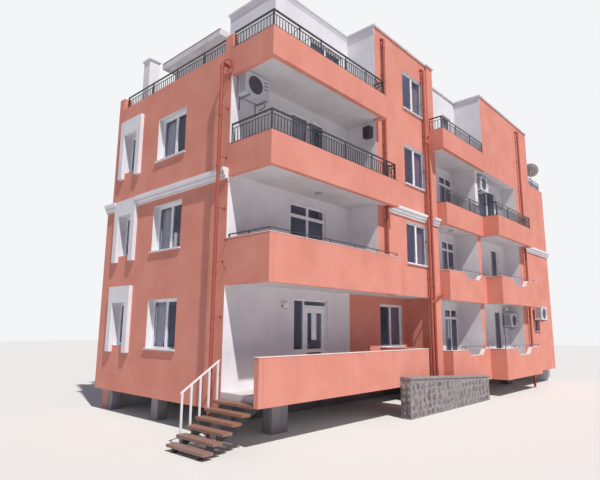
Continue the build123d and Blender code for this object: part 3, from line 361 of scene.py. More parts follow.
def eave_finish():
    """White painted eave board with a strip of dark red sheet metal folded over its top edge."""
    made, tree, coords = new_material("white_board_and_red_metal_edge", "#DCDAE0", 0.6)
    height = add_node(tree, "SeparateXYZ", {"Vector": coords}).outputs["Z"]
    metal = add_node(tree, "Math", {0: height, 1: CORNER.z + ROOF_TOP - RED_EDGE}, operation="GREATER_THAN")
    patches = add_node(tree, "TexNoise", sized(coords, 500, Detail=3.0))
    board = add_node(tree, "ValToRGB", {"Fac": patches}, [(0.3, "#CFCDD3"), (0.7, "#E2E0E5")])
    shown = add_node(tree, "Mix", {0: metal, 6: board, 7: paint("#6E1F1C")}, data_type="RGBA")
    return finish_with(made, shown.outputs[2])


slab_paint = slab_finish()
rail_paint = rail_enamel()
# Painted shade: the beads are a darker salmon than the wall, for the thin line of shade along them.
bead_painted_shade = metal_paint("corner_bead_painted_shade", "#C27B6C", "#B36C5E", 0.6)
stair_rail_paint = metal_paint("white_rail_enamel", "#EDEDF0", "#CFCBCC", 0.35)
# The pipes are painted a red darker than the wall, as they are, and darker still as painted shade for the
# shade and shadow along the left pipe.
pipe_paint_with_painted_shade = metal_paint("pipe_salmon_with_painted_shade", "#A24F40", "#84382C", 0.5)
bracket_paint = metal_paint("galvanised_bracket_steel", "#7F828A", "#63656B", 0.45)
unit_paint = metal_paint("baked_enamel_casing", "#CFD0DA", "#BCBCC4", 0.35, 300)
eave_paint = eave_finish()
grille_paint_and_fan_shade = metal_paint("dark_moulded_grille_and_painted_fan_shade", "#57535C", "#45414A", 0.5)
dish_paint = metal_paint("powder_coated_dish", "#B9B4AC", "#9C978E", 0.5)
cabinet_paint = metal_paint("dark_sheet_steel", "#3E383F", "#2E292F", 0.5)
handle_metal = metal_paint("satin_stainless_steel", "#B9BABC", "#A5A6A8", 0.3, metallic=1.0)
plastic = window_plastic()
glass = window_glass()
wood = timber()
stone = rubble_stone()
joint_mortar = mineral("sand_cement_mortar", ("#7F7A7B", "#96908F", "#A8A29F"), 120, 20, 0.6, 5.0)
coping_concrete = mineral("coping_concrete", ("#D2D0D6", "#E0DEE3", "#E9E7EB"), 400, 18, 0.35, 2.0)
grey_concrete = mineral("undercroft_concrete", ("#86828A", "#949097", "#A29EA3"), 400, 18, 0.35, 2.0)
pinks = ("#DCC6C2", "#E8D4D0", "#EEDDD9")
capping_concrete = mineral("painted_capping_strip", pinks, 400, 18, 0.25, 2.0, 0.7)
lamp_glass = mineral("opal_lamp_glass", ("#E6E3DA", "#EFEDE6", "#F4F2EC"), 200, 60, 0.05, 1.0, 0.3)
lamp_shade = mineral("dusty_opal_shade", ("#A5A1A2", "#B2AEB0", "#BDB9BB"), 200, 60, 0.05, 1.0, 0.4)
pale_cloth = cloth("pale_curtain_voile", ("#D6D1DA", "#F4F0F5"))
brown_cloth = cloth("mauve_brown_curtain", ("#8E6F6A", "#B5948D"))
blue_cloth = cloth("blue_curtain_cotton", ("#3E4486", "#6E78B4"))

# The finish of each solid
finishes = [
    (left_wall_paint, "left_wall"),
    (right_wall_paint, "right_wall"),
    (rear_wall_paint, "rear_walls"),
    (entrance_wall_paint, "entrance_wall"),
    (white_render, "entrance_lintel balcony_back_walls penthouse_front_walls penthouse_side_walls cornice "
                   "cornice_corner_blocks window_surrounds chimney"),
    (cross_wall_paint, "balcony_cross_walls"),
    (bay_paint, "projecting_bay_front"),
    (salmon_render, "pier penthouse_rear_wall ground_parapet_fronts second_floor_parapet_fronts "
                    "third_floor_parapet_fronts roof_terrace_parapet_fronts parapet_returns "
                    "terrace_corner_posts"),
    (block_paint, "end_block_front"),
    (wing_paint, "wing_front_wall"),
    (coping_concrete, "window_sills roof_coping"),
    (slab_paint, "ground_floor_slab second_floor_slab third_floor_slab roof_terrace_slab "
                 "penthouse_roof_slab"),
    (grey_concrete, "undercroft_piers undercroft_wall"),
    (joint_mortar, "stone_plinth"),
    (plastic, "window_frames balcony_door_frames entrance_frame entrance_door"),
    (glass, "window_glass entrance_door_glass"),
    (handle_metal, "entrance_door_handles"),
    (rail_paint, "front_railings side_railings low_handrails stair_stringers"),
    (pipe_paint_with_painted_shade, "downspouts"),
    (unit_paint, "air_conditioners"),
    (bracket_paint, "air_conditioner_brackets"),
    (cabinet_paint, "wall_cabinet"),
    (lamp_glass, "wall_lamps"),
    (dish_paint, "satellite_dish"),
    (wood, "stair_treads"),
    (stair_rail_paint, "stair_handrail"),
    (eave_paint, "eave_fascia"),
]
for finish, names in finishes:
    for name in names.split():
        for holder in nodes[name].material_slots:
            holder.material = finish


# Making pieces
def nothing_selected():
    if bpy.context.object and bpy.context.object.mode != "OBJECT":
        bpy.ops.object.mode_set(mode="OBJECT")
    bpy.ops.object.select_all(action="DESELECT")


def only(piece):
    nothing_selected()
    piece.select_set(True)
    bpy.context.view_layer.objects.active = piece


def added(operator, **settings):
    """A new object, made by its operator with nothing else selected."""
    nothing_selected()
    operator(**settings)
    return bpy.context.object


def settle(piece):
    """The piece's place, turn and size go into its mesh."""
    only(piece)
    bpy.ops.object.transform_apply(location=True, rotation=True, scale=True)
    return piece


def with_modifier(piece, kind, **settings):
    """The piece after one modifier has been applied to it."""
    only(piece)
    modifier = piece.modifiers.new("shape", kind)
    for name, value in settings.items():
        setattr(modifier, name, value)
    bpy.ops.object.modifier_apply(modifier=modifier.name)
    return piece


def bevel_edges(piece, width, segments=1):
    return with_modifier(piece, "BEVEL", width=width, segments=segments, limit_method="ANGLE")


def end_editing():
    """Turns all faces of the mesh outwards and leaves its edit mode."""
    bpy.ops.mesh.select_all(action="SELECT")
    bpy.ops.mesh.normals_make_consistent(inside=False)
    bpy.ops.object.mode_set(mode="OBJECT")


def bar(low, high, edge=0.004):
    """A straight bar or board between two corners, with eased edges."""
    piece = added(bpy.ops.mesh.primitive_cube_add, size=1, location=(low + high) / 2)
    piece.scale = high - low
    return bevel_edges(settle(piece), edge)


def rod(start, end, radius, sides=12):
    """A round bar between two points."""
    length = (end - start).length
    piece = added(bpy.ops.mesh.primitive_cylinder_add, vertices=sides, radius=radius, depth=length)
    piece.rotation_mode = "QUATERNION"
    piece.rotation_quaternion = (end - start).to_track_quat("Z", "Y")
    piece.location = (start + end) / 2
    return bevel_edges(settle(piece), radius * 0.15)


def copied(piece, move):
    """A copy with its own mesh, moved by a matrix."""
    twin = piece.copy()
    twin.data = piece.data.copy()
    twin.data.transform(move)
    bpy.context.collection.objects.link(twin)
    return twin


def merged(pieces):
    only(pieces[0])
    for piece in pieces[1:]:
        piece.select_set(True)
    if len(pieces) > 1:
        bpy.ops.object.join()
    return bpy.context.view_layer.objects.active


def joined(pieces, name, material, body="building"):
    """Like pieces as one named piece, with its finish and the body it rides on."""
    whole = merged(pieces)
    whole.name = name
    whole.data.name = name
    whole.data.materials.clear()
    whole.data.materials.append(material)
    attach(whole, body)
    return whole


# Openings, in their own axes: x to the right as seen from outside, y into the wall, z up
def place_of(x, y, z, turn):
    return Matrix.Translation(at(x, y, z)) @ Matrix.Rotation(radians(turn), 4, "Z")


def lights(width, height, columns, transom=0.0):
    """The clear spans between the frame's bars, column by column from the left and from the foot up."""
    column = (width - (columns + 1) * FRAME_BAR) / columns
    top = height - FRAME_BAR
    rows = [(FRAME_BAR, top)]
    if transom:
        rows = [(FRAME_BAR, top - transom - FRAME_BAR), (top - transom, top)]
    cells = []
    for index in range(columns):
        start = FRAME_BAR + index * (column + FRAME_BAR)
        cells += [((start, start + column), row) for row in rows]
    return cells


# Width, height and columns of panes of the window and door units
WINDOW = (1.5, 1.445, 2)
UNITS = {
    "left_wide": WINDOW, "rear": WINDOW, "right": WINDOW, "left_narrow": (0.82, 1.33, 1),
    "bay": (1.45, 1.5, 2), "bay_ground": (1.45, 1.5, 2), "block": (0.6, 0.95, 1),
    "corner_door": (1.64, HEAD_HEIGHT, 2), "middle_door": (1.23, HEAD_HEIGHT, 2),
    "end_door": (0.85, HEAD_HEIGHT, 1), "end_top": (2.0, HEAD_HEIGHT, 2),
    "penthouse": (1.7, HEAD_HEIGHT, 2), "terrace": (0.8, HEAD_HEIGHT, 1),
}
# Heights of sills above the underside of their slab
WINDOW_SILL = 1.085
NARROW_SILL = 1.15
BAY_SILL = 1.09
BLOCK_SILL = 1.65
REAR_BAYS = 5
RIGHT_BAYS = 2
openings = []


def opening(kind, x, y, z, turn=0, transom=0.0):
    """Notes one opening, whose frame is a CAD solid, for the sashes and curtains that go with it. The reveals
    of the front are shallower than the others."""
    width, height, columns = UNITS[kind]
    reveal = REVEAL if turn else FRONT_REVEAL
    openings.append(dict(
        kind=kind, place=place_of(x, y, z, turn), width=width, height=height, columns=columns,
        transom=transom, reveal=reveal))


for storey in range(3):
    sill = level(storey) + WINDOW_SILL
    opening("left_wide", 0, 3.56, sill, -90)
    opening("left_narrow", 0, 5.57, level(storey) + NARROW_SILL, -90)
    for index in range(REAR_BAYS):
        right_edge = (index + 0.5) * RIGHT_X / REAR_BAYS + WINDOW[0] / 2
        opening("rear", right_edge, LOWER_DEPTH if storey < 2 else UPPER_DEPTH, sill, 180)
    for index in range(RIGHT_BAYS):
        near_edge = (index + 0.5) * UPPER_DEPTH / RIGHT_BAYS - WINDOW[0] / 2
        opening("right", RIGHT_X, near_edge, sill, 90)
    opening("middle_door", MIDDLE_X + 1.83, MIDDLE_WALL_Y, level(storey) + SLAB, transom=TRANSOM)
for storey in (1, 2, 3):
    opening("bay", BAY_X + 1.8, BAY_Y, level(storey) + BAY_SILL)
opening("bay_ground", BAY_X + 1.8, 0, BAY_SILL)
opening("block", BLOCK_X + 1.7, BLOCK_Y, BLOCK_SILL)
opening("corner_door", 2.36, 0, level(1) + SLAB, transom=TRANSOM)
opening("corner_door", 2.36, 0, level(2) + SLAB)
for storey in (0, 1):
    opening("end_door", END_X + 2.1, END_WALL_Y, level(storey) + SLAB)
opening("end_top", END_X + 1.1, END_WALL_Y, level(2) + SLAB)
opening("penthouse", 3.2, 0, level(3) + SLAB)
opening("terrace", MIDDLE_X + 2.25, -0.5, level(3) + SLAB)

SASH_RAIL = 0.022
SASH_DEPTH = 0.03
SASH_PROUD = 0.008


def sash(width, height):
    """One sash of a window: a mitred ring with eased edges, proud of its frame, at its own origin."""
    centre = (width / 2, -SASH_PROUD, height / 2)
    piece = added(bpy.ops.mesh.primitive_plane_add, size=1, rotation=(pi / 2, 0, 0), location=centre)
    piece.scale = (width, height, 1)
    settle(piece)
    bpy.ops.object.mode_set(mode="EDIT")
    bpy.ops.mesh.select_all(action="SELECT")
    bpy.ops.mesh.inset(thickness=SASH_RAIL)
    bpy.ops.mesh.delete(type="FACE")
    bpy.ops.mesh.select_all(action="SELECT")
    bpy.ops.mesh.extrude_region_move(TRANSFORM_OT_translate={"value": (0, SASH_DEPTH, 0)})
    end_editing()
    return bevel_edges(piece, 0.006)


patterns = {}
sashes = {}
for item in openings:
    for (x0, x1), (z0, z1) in lights(item["width"], item["height"], item["columns"], item["transom"]):
        size = (round(x1 - x0, 4), round(z1 - z0, 4))
        if size not in patterns:
            patterns[size] = sash(*size)
        move = item["place"] @ Matrix.Translation((x0, item["reveal"], z0))
        sashes.setdefault(item["kind"], []).append(copied(patterns[size], move))
for pattern in patterns.values():
    bpy.data.objects.remove(pattern)
for kind, made in sashes.items():
    joined(made, "sashes_" + kind, plastic)


# Cappings: thin painted strips on the tops of the parapets, a little wider than the walls
CAPPING = 0.018
OVERLAP = 0.012


def strip_along(points, y0, y1, thickness):
    """A strip along a line in x and z: a first face, then its far edge extruded from point to point."""
    piece = added(bpy.ops.mesh.primitive_plane_add, size=1)
    corners = [(points[0], y0), (points[1], y0), (points[0], y1), (points[1], y1)]
    for vertex, ((x, z), y) in zip(piece.data.vertices, corners):
        vertex.co = at(x, y, z)
    bpy.ops.object.mode_set(mode="EDIT")
    bpy.ops.mesh.select_mode(type="VERT")
    bpy.ops.mesh.select_all(action="DESELECT")
    bpy.ops.object.mode_set(mode="OBJECT")
    for index in (1, 3):
        piece.data.vertices[index].select = True
    bpy.ops.object.mode_set(mode="EDIT")
    for (x0, z0), (x1, z1) in zip(points[1:], points[2:]):
        bpy.ops.mesh.extrude_region_move(TRANSFORM_OT_translate={"value": (x1 - x0, 0, z1 - z0)})
    end_editing()
    upwards = 1.0 if piece.data.polygons[0].normal.z > 0 else -1.0
    return bevel_edges(with_modifier(piece, "SOLIDIFY", thickness=thickness, offset=upwards), 0.004)


def capping(x, y, z):
    return bar(at(x[0] - OVERLAP, y[0] - OVERLAP, z), at(x[1] + OVERLAP, y[1] + OVERLAP, z + CAPPING))


def notched_line(x0, x1, top, start, width, bottom, drop):
    """The top of a parapet with a notch that starts so far along and is narrower at its bottom."""
    middle = x0 + start + width / 2
    left, right = middle - bottom / 2, middle + bottom / 2
    return [(x0 - OVERLAP, top), (x0 + start, top), (left, top - drop), (right, top - drop),
            (x0 + start + width, top), (x1 + OVERLAP, top)]


CORNER_INNER_Y = CORNER_FRONT_Y + PARAPET
MIDDLE_INNER_Y = MIDDLE_FRONT_Y + PARAPET
END_INNER_Y = END_FRONT_Y + PARAPET
cappings = []
for storey in (0, 1):
    z = level(storey) + CORNER_PARAPETS[storey]
    left, far = (-0.25, 7.45) if storey == 0 else (0, CORNER_RIGHT)
    cappings.append(capping((left, far), (CORNER_FRONT_Y, CORNER_INNER_Y), z))
    returns = [(far - PARAPET, 0)] if storey == 0 else [(far - PARAPET, BAY_Y), (0, 0)]
    for x, end in returns:
        cappings.append(capping((x, x + PARAPET), (CORNER_INNER_Y + 2 * OVERLAP, end - OVERLAP), z))
    z = level(storey) + BAY_PARAPETS[storey]
    line = notched_line(MIDDLE_X, END_X, z, 1.3, 1.57, 1.1, 0.22)
    cappings.append(strip_along(line, MIDDLE_FRONT_Y - OVERLAP, MIDDLE_INNER_Y + OVERLAP, CAPPING))
    line = notched_line(END_X, END_RIGHT, z, 1.2, 1.85, 1.25, 0.28)
    cappings.append(strip_along(line, END_FRONT_Y - OVERLAP, END_INNER_Y + OVERLAP, CAPPING))
    start = END_INNER_Y + 2 * OVERLAP
    cappings.append(capping((END_X, END_X + PARAPET), (start, MIDDLE_INNER_Y), z))
    cappings.append(capping((END_RIGHT - PARAPET, END_RIGHT), (start, BLOCK_Y - OVERLAP), z))
joined(cappings, "parapet_cappings", capping_concrete)

# Side walls of the middle balconies, from the front parapet back past the pier to the wall
side_walls = []
side_tops = []
far = MIDDLE_X + PARAPET
for storey in range(3):
    z = level(storey) + BAY_PARAPETS[storey]
    low = 0.002 if storey == 0 else level(storey) - 0.04
    start = MIDDLE_INNER_Y
    side_walls.append(bar(at(MIDDLE_X - 0.004, start, low), at(far, PIER_Y - 0.002, z), 0.003))
    low = level(storey) + SLAB
    side_walls.append(bar(at(MIDDLE_X + 0.002, PIER_Y - 0.01, low), at(far, MIDDLE_WALL_Y, z), 0.003))
    if storey < 2:
        side_tops.append(capping((MIDDLE_X, far), (start + 2 * OVERLAP, MIDDLE_WALL_Y - OVERLAP), z))
joined(side_walls, "middle_balcony_side_walls", salmon_render)
joined(side_tops, "middle_balcony_side_cappings", capping_concrete)

# Low handrail along the left side of the second-floor balcony, and its end prop on the right
SECOND_TOP = level(1) + CORNER_PARAPETS[1]
RAIL_TOP = SECOND_TOP + LOW_RAIL_HEIGHT
RAIL_FOOT = RAIL_TOP - 0.03
prop_y = CORNER_FRONT_Y + 0.06
low_rail = [
    bar(at(0.06, CORNER_FRONT_Y + 0.09, RAIL_FOOT), at(0.09, -0.01, RAIL_TOP)),
    bar(at(0.06, -0.06, SECOND_TOP), at(0.09, -0.03, RAIL_FOOT)),
    bar(at(0.06, -0.8, SECOND_TOP), at(0.09, -0.77, RAIL_FOOT)),
    rod(at(5.35, prop_y, SECOND_TOP + 0.02), at(5.72, prop_y, RAIL_TOP - 0.04), 0.01, 8),
]
joined(low_rail, "low_handrail_side", rail_paint)

# Railings of the third floor and the roof terrace: foot strips, posts with base plates and slanting braces
THIRD_TOP = level(2) + CORNER_PARAPETS[2]
TERRACE_TOP = level(3) + CORNER_PARAPETS[3]
THIRD = (THIRD_TOP, 0.58)
TERRACE = (TERRACE_TOP, 0.51)
HALF = PARAPET / 2
POST = 0.034
STRIP = 0.012
STRIP_PAST = 0.006


def rail_post(x, y, z, height):
    post = bar(at(x - POST / 2, y - POST / 2, z), at(x + POST / 2, y + POST / 2, z + height - 0.03))
    plate = bar(at(x - 0.05, y - 0.05, z + STRIP), at(x + 0.05, y + 0.05, z + 0.02), 0.002)
    return [post, plate]


def brace(x0, x1, y, z, height):
    """A thin bar that slants across the back of the railing from a foot to the upper rail."""
    return rod(at(x0, y + 0.03, z + 0.03), at(x1, y + 0.03, z + height - 0.06), 0.009, 8)


corner_x = CORNER_RIGHT - HALF
end_x = END_RIGHT - HALF
bay_x = BAY_X - HALF
# Each front railing: its span, its line, its foot and height, where its posts stand, and where braces slant
front_rails = [
    ((0, CORNER_RIGHT), CORNER_FRONT_Y, THIRD, (HALF, 1.62, 3.05, 4.4, 5.25, corner_x),
        ((5.25, corner_x), (corner_x, 5.25))),
    ((MIDDLE_X, END_X), MIDDLE_FRONT_Y, THIRD, (MIDDLE_X + 0.05, 10.4, 11.55, END_X - 0.05), ()),
    ((END_X, END_RIGHT), END_FRONT_Y, THIRD, (END_X + HALF, 14.05, 15.45, 16.3, end_x),
        ((16.3, end_x), (end_x, 16.3))),
    ((0, BAY_X), CORNER_FRONT_Y, TERRACE, (HALF, 1.05, 1.95, 3.1, 4.15, 4.7, bay_x),
        ((0.7, 1.05), (1.1, 1.6), (4.7, bay_x), (bay_x, 4.7))),
    ((PIER_X, WING_X), TERRACE_FRONT_Y, TERRACE, (PIER_X + HALF, 10.1, 11.4, WING_X - 0.05), ()),
]
feet = []
posts = []
for (x0, x1), front, (z, height), places, braces in front_rails:
    far = at(x1 + STRIP_PAST, front + PARAPET + STRIP_PAST, z + STRIP)
    feet.append(bar(at(x0 - STRIP_PAST, front - STRIP_PAST, z), far, 0.003))
    for x in places:
        posts += rail_post(x, front + HALF, z, height)
    for foot_x, top_x in braces:
        posts.append(brace(foot_x, top_x, front + HALF, z, height))
for x, y0, y1, z in [
    (MIDDLE_X, MIDDLE_INNER_Y, MIDDLE_WALL_Y, THIRD_TOP),
    (0, CORNER_INNER_Y, 0, THIRD_TOP),
    (CORNER_RIGHT - PARAPET, CORNER_INNER_Y, BAY_Y, THIRD_TOP),
    (END_X, END_INNER_Y, MIDDLE_INNER_Y, THIRD_TOP),
    (END_RIGHT - PARAPET, END_INNER_Y, BLOCK_Y, THIRD_TOP),
    (0, CORNER_INNER_Y, 0, TERRACE_TOP),
    (BAY_X - PARAPET, CORNER_INNER_Y, BAY_Y, TERRACE_TOP),
]:
    feet.append(bar(at(x - STRIP_PAST, y0 + 0.008, z), at(x + PARAPET + STRIP_PAST, y1, z + STRIP), 0.003))
for y in (0.34, 1.5, 2.9, 4.3, 5.9):
    posts += rail_post(WALL / 2, y, *TERRACE)
joined(feet, "railing_foot_strips", rail_paint)
joined(posts, "railing_posts_and_braces", rail_paint)

# Grilles, louvres and trays of the outdoor units, made once in the unit's own axes
AC_LENGTH = 0.84
AC_FRONT = -0.44
AC_BACK = -0.1
AC_LOW = 0.04
AC_HIGH = 0.66
FAN_X = 0.38 * AC_LENGTH
FAN_Z = 0.35
FAN_RADIUS = 0.26


def ring(radius, thickness, out=0.0):
    """A ring of wire or sheet round the fan's axis, so far in front of the casing."""
    return settle(added(
        bpy.ops.mesh.primitive_torus_add, major_radius=radius, minor_radius=thickness, major_segments=32,
        minor_segments=6, rotation=(pi / 2, 0, 0), location=(FAN_X, AC_FRONT - out, FAN_Z)))


def unit_bar(x, y, z, edge):
    """A bar in the unit's own axes, between two values of each."""
    return bar(Vector((x[0], y[0], z[0])), Vector((x[1], y[1], z[1])), edge)


def fan_grille():
    parts = [ring(radius, 0.004, 0.003) for radius in (0.07, 0.12, 0.16, 0.205, 0.25)]
    hub = Vector((FAN_X, AC_FRONT, FAN_Z))
    outwards = Vector((0, -1, 0))
    for index in range(12):
        away = Vector((cos(index * pi / 6), 0, sin(index * pi / 6)))
        centre = hub + outwards * 0.002
        parts.append(rod(centre + away * 0.05, centre + away * 0.255, 0.003, 6))
    # The disc behind the wires is the dark fan, and because it is flat, its dark colour also paints the shade
    # of the hollow behind the grille.
    return parts + [rod(hub + outwards * 0.001, hub - outwards * 0.012, FAN_RADIUS - 0.002, 40)]


def louvres():
    parts = []
    for index in range(3):
        z = FAN_Z + 0.19 - index * 0.1
        parts.append(unit_bar((0.62, 0.8), (AC_FRONT - 0.004, AC_FRONT + 0.01), (z, z + 0.026), 0.003))
    for index in range(12):
        z = AC_LOW + 0.09 + index * 0.042
        parts.append(unit_bar((-0.004, 0.006), (AC_FRONT + 0.06, AC_BACK - 0.05), (z, z + 0.014), 0.002))
    return parts


def casing_trim():
    """The low tray, the lid, the rim round the fan and the valve cover on the right."""
    end, front, back, low, high = AC_LENGTH, AC_FRONT, AC_BACK, AC_LOW, AC_HIGH
    return [
        unit_bar((-0.006, end + 0.006), (front - 0.006, back), (low - 0.006, low + 0.035), 0.006),
        unit_bar((-0.008, end + 0.008), (front - 0.01, back + 0.004), (high - 0.022, high + 0.006), 0.006),
        ring(FAN_RADIUS + 0.002, 0.008),
        unit_bar((end - 0.002, end + 0.035), (back - 0.2, back - 0.06), (0.1, 0.3), 0.01),
    ]


unit_places = [
    (0.165, 0, level(2) + 2.165),
    (END_X + 0.3, END_WALL_Y, level(2) + 2.06),
    (END_X + 2.98, END_WALL_Y, 1.81),
    (BLOCK_X + 1.33, BLOCK_Y, 2.18),
]
for name, make, material, slot in (
    ("unit_grilles", lambda: fan_grille() + louvres(), grille_paint_and_fan_shade, "box_dark"),
    ("unit_casing_trim", casing_trim, unit_paint, "unit_white"),
):
    pattern = merged(make())
    made = [copied(pattern, place_of(x, y, z, 0)) for x, y, z in unit_places]
    bpy.data.objects.remove(pattern)
    joined(made, name, material)

# Stiff insulated lines from each outdoor unit into the wall, and a drain pipe from one down to the floor
lines = []
for x, y, z in unit_places:
    start = at(x + AC_LENGTH + 0.015, y - 0.22, z + 0.2)
    elbow = start + Vector((0.03, 0, -0.22))
    lines += [rod(start, elbow, 0.018), rod(elbow, start + Vector((0.03, 0.22, -0.26)), 0.018)]
lines.append(rod(at(END_X + 3.2, END_WALL_Y - 0.02, SLAB), at(END_X + 3.2, END_WALL_Y - 0.02, 1.8), 0.012))
joined(lines, "unit_lines", bracket_paint)

# Sockets and wall clamps of the rainwater pipes: each pipe has its place in plan, the heights between which
# they stand and the way to its wall
PIPE = 0.05
SOCKET_SPACING = 1.45
PIPE_OUT = 0.12
BAY_PIPE_X = 5.605
front_pipe_y = BAY_Y - PIPE_OUT
block_pipe_y = BLOCK_Y - PIPE_OUT
pipes = [
    ((-0.255, 0.1), (0.3, 8.6), (1, 0)),
    ((BAY_PIPE_X, front_pipe_y), (6.2, 11.3), (0, 1)),
    ((BAY_PIPE_X, front_pipe_y), (3.4, 5.4), (0, 1)),
    ((PIER_X - 0.4, front_pipe_y), (3.2, 11.3), (0, 1)),
    ((PIER_X - 0.16, front_pipe_y), (3.2, 8.4), (0, 1)),
    ((END_RIGHT + 0.15, block_pipe_y), (0.5, 11.3), (0, 1)),
]
fittings = []
for (x, y), (low, high), (to_x, to_y) in pipes:
    count = max(2, round((high - low) / SOCKET_SPACING) + 1)
    reach = -x if to_x else PIPE_OUT
    for index in range(count):
        z = low + index * (high - low) / (count - 1)
        fittings.append(rod(at(x, y, z), at(x, y, z + 0.07), PIPE + 0.009, 20))
        clamp = z + 0.3 if z + 0.35 < high else z - 0.2
        fittings.append(rod(at(x, y, clamp), at(x, y, clamp + 0.025), PIPE + 0.006, 20))
        side = at(x + to_x * reach, y + to_y * reach, clamp + 0.012)
        fittings.append(rod(at(x + to_x * PIPE, y + to_y * PIPE, clamp + 0.012), side, 0.009, 8))
        plate = Vector((0.004 + 0.03 * to_y, 0.004 + 0.03 * to_x, 0.04))
        fittings.append(bar(side - plate, side + plate, 0.002))
joined(fittings, "pipe_sockets_and_clamps", pipe_paint_with_painted_shade)


def bent_tube(points, radius):
    """A bent tube through a few points: a smooth line with a round section, made a mesh."""
    data = bpy.data.curves.new("bent", "CURVE")
    data.dimensions = "3D"
    data.bevel_depth = radius
    data.bevel_resolution = 4
    data.use_fill_caps = True
    spline = data.splines.new("BEZIER")
    spline.bezier_points.add(len(points) - 1)
    for point, place in zip(spline.bezier_points, points):
        point.co = place
        point.handle_left_type = point.handle_right_type = "AUTO"
    piece = bpy.data.objects.new("bent", data)
    bpy.context.collection.objects.link(piece)
    only(piece)
    bpy.ops.object.convert(target="MESH")
    return bpy.context.object


# Bent pipes: a loop at the head of the left pipe and another beside the pier, a slanting branch under the
# balcony, the elbow at the head of the bay's pipe, and upturned hooks on the wall beside the left pipe
bend_lines = [
    ([(-0.03, -0.06, 8.62), (-0.13, -0.04, 8.86), (-0.23, 0.02, 8.82), (-0.255, 0.08, 8.55)], 0.02),
    ([(-0.03, -0.06, 8.62), (-0.1, -0.04, 8.5), (-0.2, 0.02, 8.42), (-0.255, 0.08, 8.3)], 0.02),
    ([(8.63, -1.24, 8.92), (8.58, -1.3, 8.98), (8.45, -1.3, 8.9), (8.4, -1.27, 8.6)], 0.03),
    ([(9.33, -1.24, 3.0), (9.0, -1.3, 2.93), (8.6, -1.33, 2.8), (8.4, -1.28, 2.62)], 0.03),
]
elbow_yz = ((front_pipe_y, 11.28), (front_pipe_y, 11.38), (BAY_Y - 0.05, 11.42))
bend_lines.append(([(BAY_PIPE_X, y, z) for y, z in elbow_yz], 0.055))
for z in (5.45, 3.9, 3.2):
    bend_lines.append(([(-0.004, -0.04, z), (-0.07, -0.045, z + 0.01), (-0.1, -0.045, z + 0.06)], 0.012))
bends = [bent_tube([at(*point) for point in points], radius) for points, radius in bend_lines]
joined(bends, "pipe_bends", pipe_paint_with_painted_shade)


# Bands that follow a wall: a grid is added and its rows are laid along a path of corners
def band_along(path, profile):
    """A closed moulding. The path is a list of corners in plan with the way out of the wall at each, mitred;
    the profile is a closed outline of how far out and how high."""
    across = len(profile)
    rows = len(path) - 1
    piece = added(bpy.ops.mesh.primitive_grid_add, x_subdivisions=across, y_subdivisions=rows, size=1)
    loop = profile + profile[:1]
    for index, vertex in enumerate(piece.data.vertices):
        row, column = divmod(index, across + 1)
        (x, y), (out_x, out_y) = path[row]
        out, z = loop[column]
        vertex.co = at(x + out_x * out, y + out_y * out, z)
    bpy.ops.object.mode_set(mode="EDIT")
    bpy.ops.mesh.select_all(action="SELECT")
    bpy.ops.mesh.remove_doubles(threshold=0.0001)
    bpy.ops.mesh.select_all(action="DESELECT")
    bpy.ops.mesh.select_mode(type="EDGE")
    bpy.ops.mesh.select_non_manifold(extend=False, use_multi_face=False)
    bpy.ops.mesh.edge_face_add()
    end_editing()
    return piece


# Sloping bands under the coping of the white parapets above the roof terrace
tall_band, bay_band = [
    [(-0.02, PARAPET_TOP - high), (0.0, PARAPET_TOP - high), (out, PARAPET_TOP), (-0.02, PARAPET_TOP)]
    for high, out in ((0.16, 0.05), (0.32, 0.055))
]
bands = [
    band_along([((1.6, 2.15), (-1, 0)), ((1.6, 0), (-1, -1)), ((BAY_X, 0), (0, -1))], tall_band),
    band_along([((BAY_X, 0), (-1, 0)), ((BAY_X, BAY_Y), (-1, 0))], bay_band),
]
joined(bands, "coping_bands", white_render)

# Corner beads: narrow strips near the corners of the solid parapets, painted a darker salmon as painted shade
# for the thin dark line along each corner joint
beads = [
    bar(at(x, front - 0.004, low), at(x + 0.01, front + 0.01, high), 0.002)
    for x, front, low, high in (
        (0.14, CORNER_FRONT_Y, level(1), level(1) + 1.11),
        (-0.12, CORNER_FRONT_Y, 0.01, 1.07),
        (END_X + 0.14, END_FRONT_Y, level(1), level(1) + 1.05),
    )
]
joined(beads, "corner_beads", bead_painted_shade)


# Wall lamps: a globe with a small cap on a curved arm
LAMP_OUT = 0.13
GLOBE_RADIUS = 0.085


def globe_lamp(x, y, z):
    globe = added(
        bpy.ops.mesh.primitive_uv_sphere_add, segments=24, ring_count=14, radius=GLOBE_RADIUS,
        location=at(x, y - LAMP_OUT, z))
    globe.scale = (1, 1, 1.15)
    return settle(globe)


def lamp_arm(x, y, z):
    plate = rod(at(x, y - 0.012, z - 0.02), at(x, y, z - 0.02), 0.045, 20)
    arm_points = [(0.01, 0.02), (0.06, 0.03), (0.11, 0.07), (LAMP_OUT, 0.1)]
    arm = bent_tube([at(x, y - out, z - down) for out, down in arm_points], 0.01)
    cup = rod(at(x, y - LAMP_OUT, z - 0.115), at(x, y - LAMP_OUT, z - GLOBE_RADIUS), 0.04, 20)
    cap = rod(at(x, y - LAMP_OUT, z + GLOBE_RADIUS), at(x, y - LAMP_OUT, z + 0.105), 0.03, 20)
    return [plate, arm, cup, cap]


lamp_places = [(2.1, 0, 2.36), (15.89, END_WALL_Y, 2.68)]
globes = joined([globe_lamp(*place) for place in lamp_places], "lamp_globes", lamp_glass)
bpy.ops.object.shade_smooth()
joined([part for place in lamp_places for part in lamp_arm(*place)], "lamp_arms", bracket_paint)
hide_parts("wall_lamps")


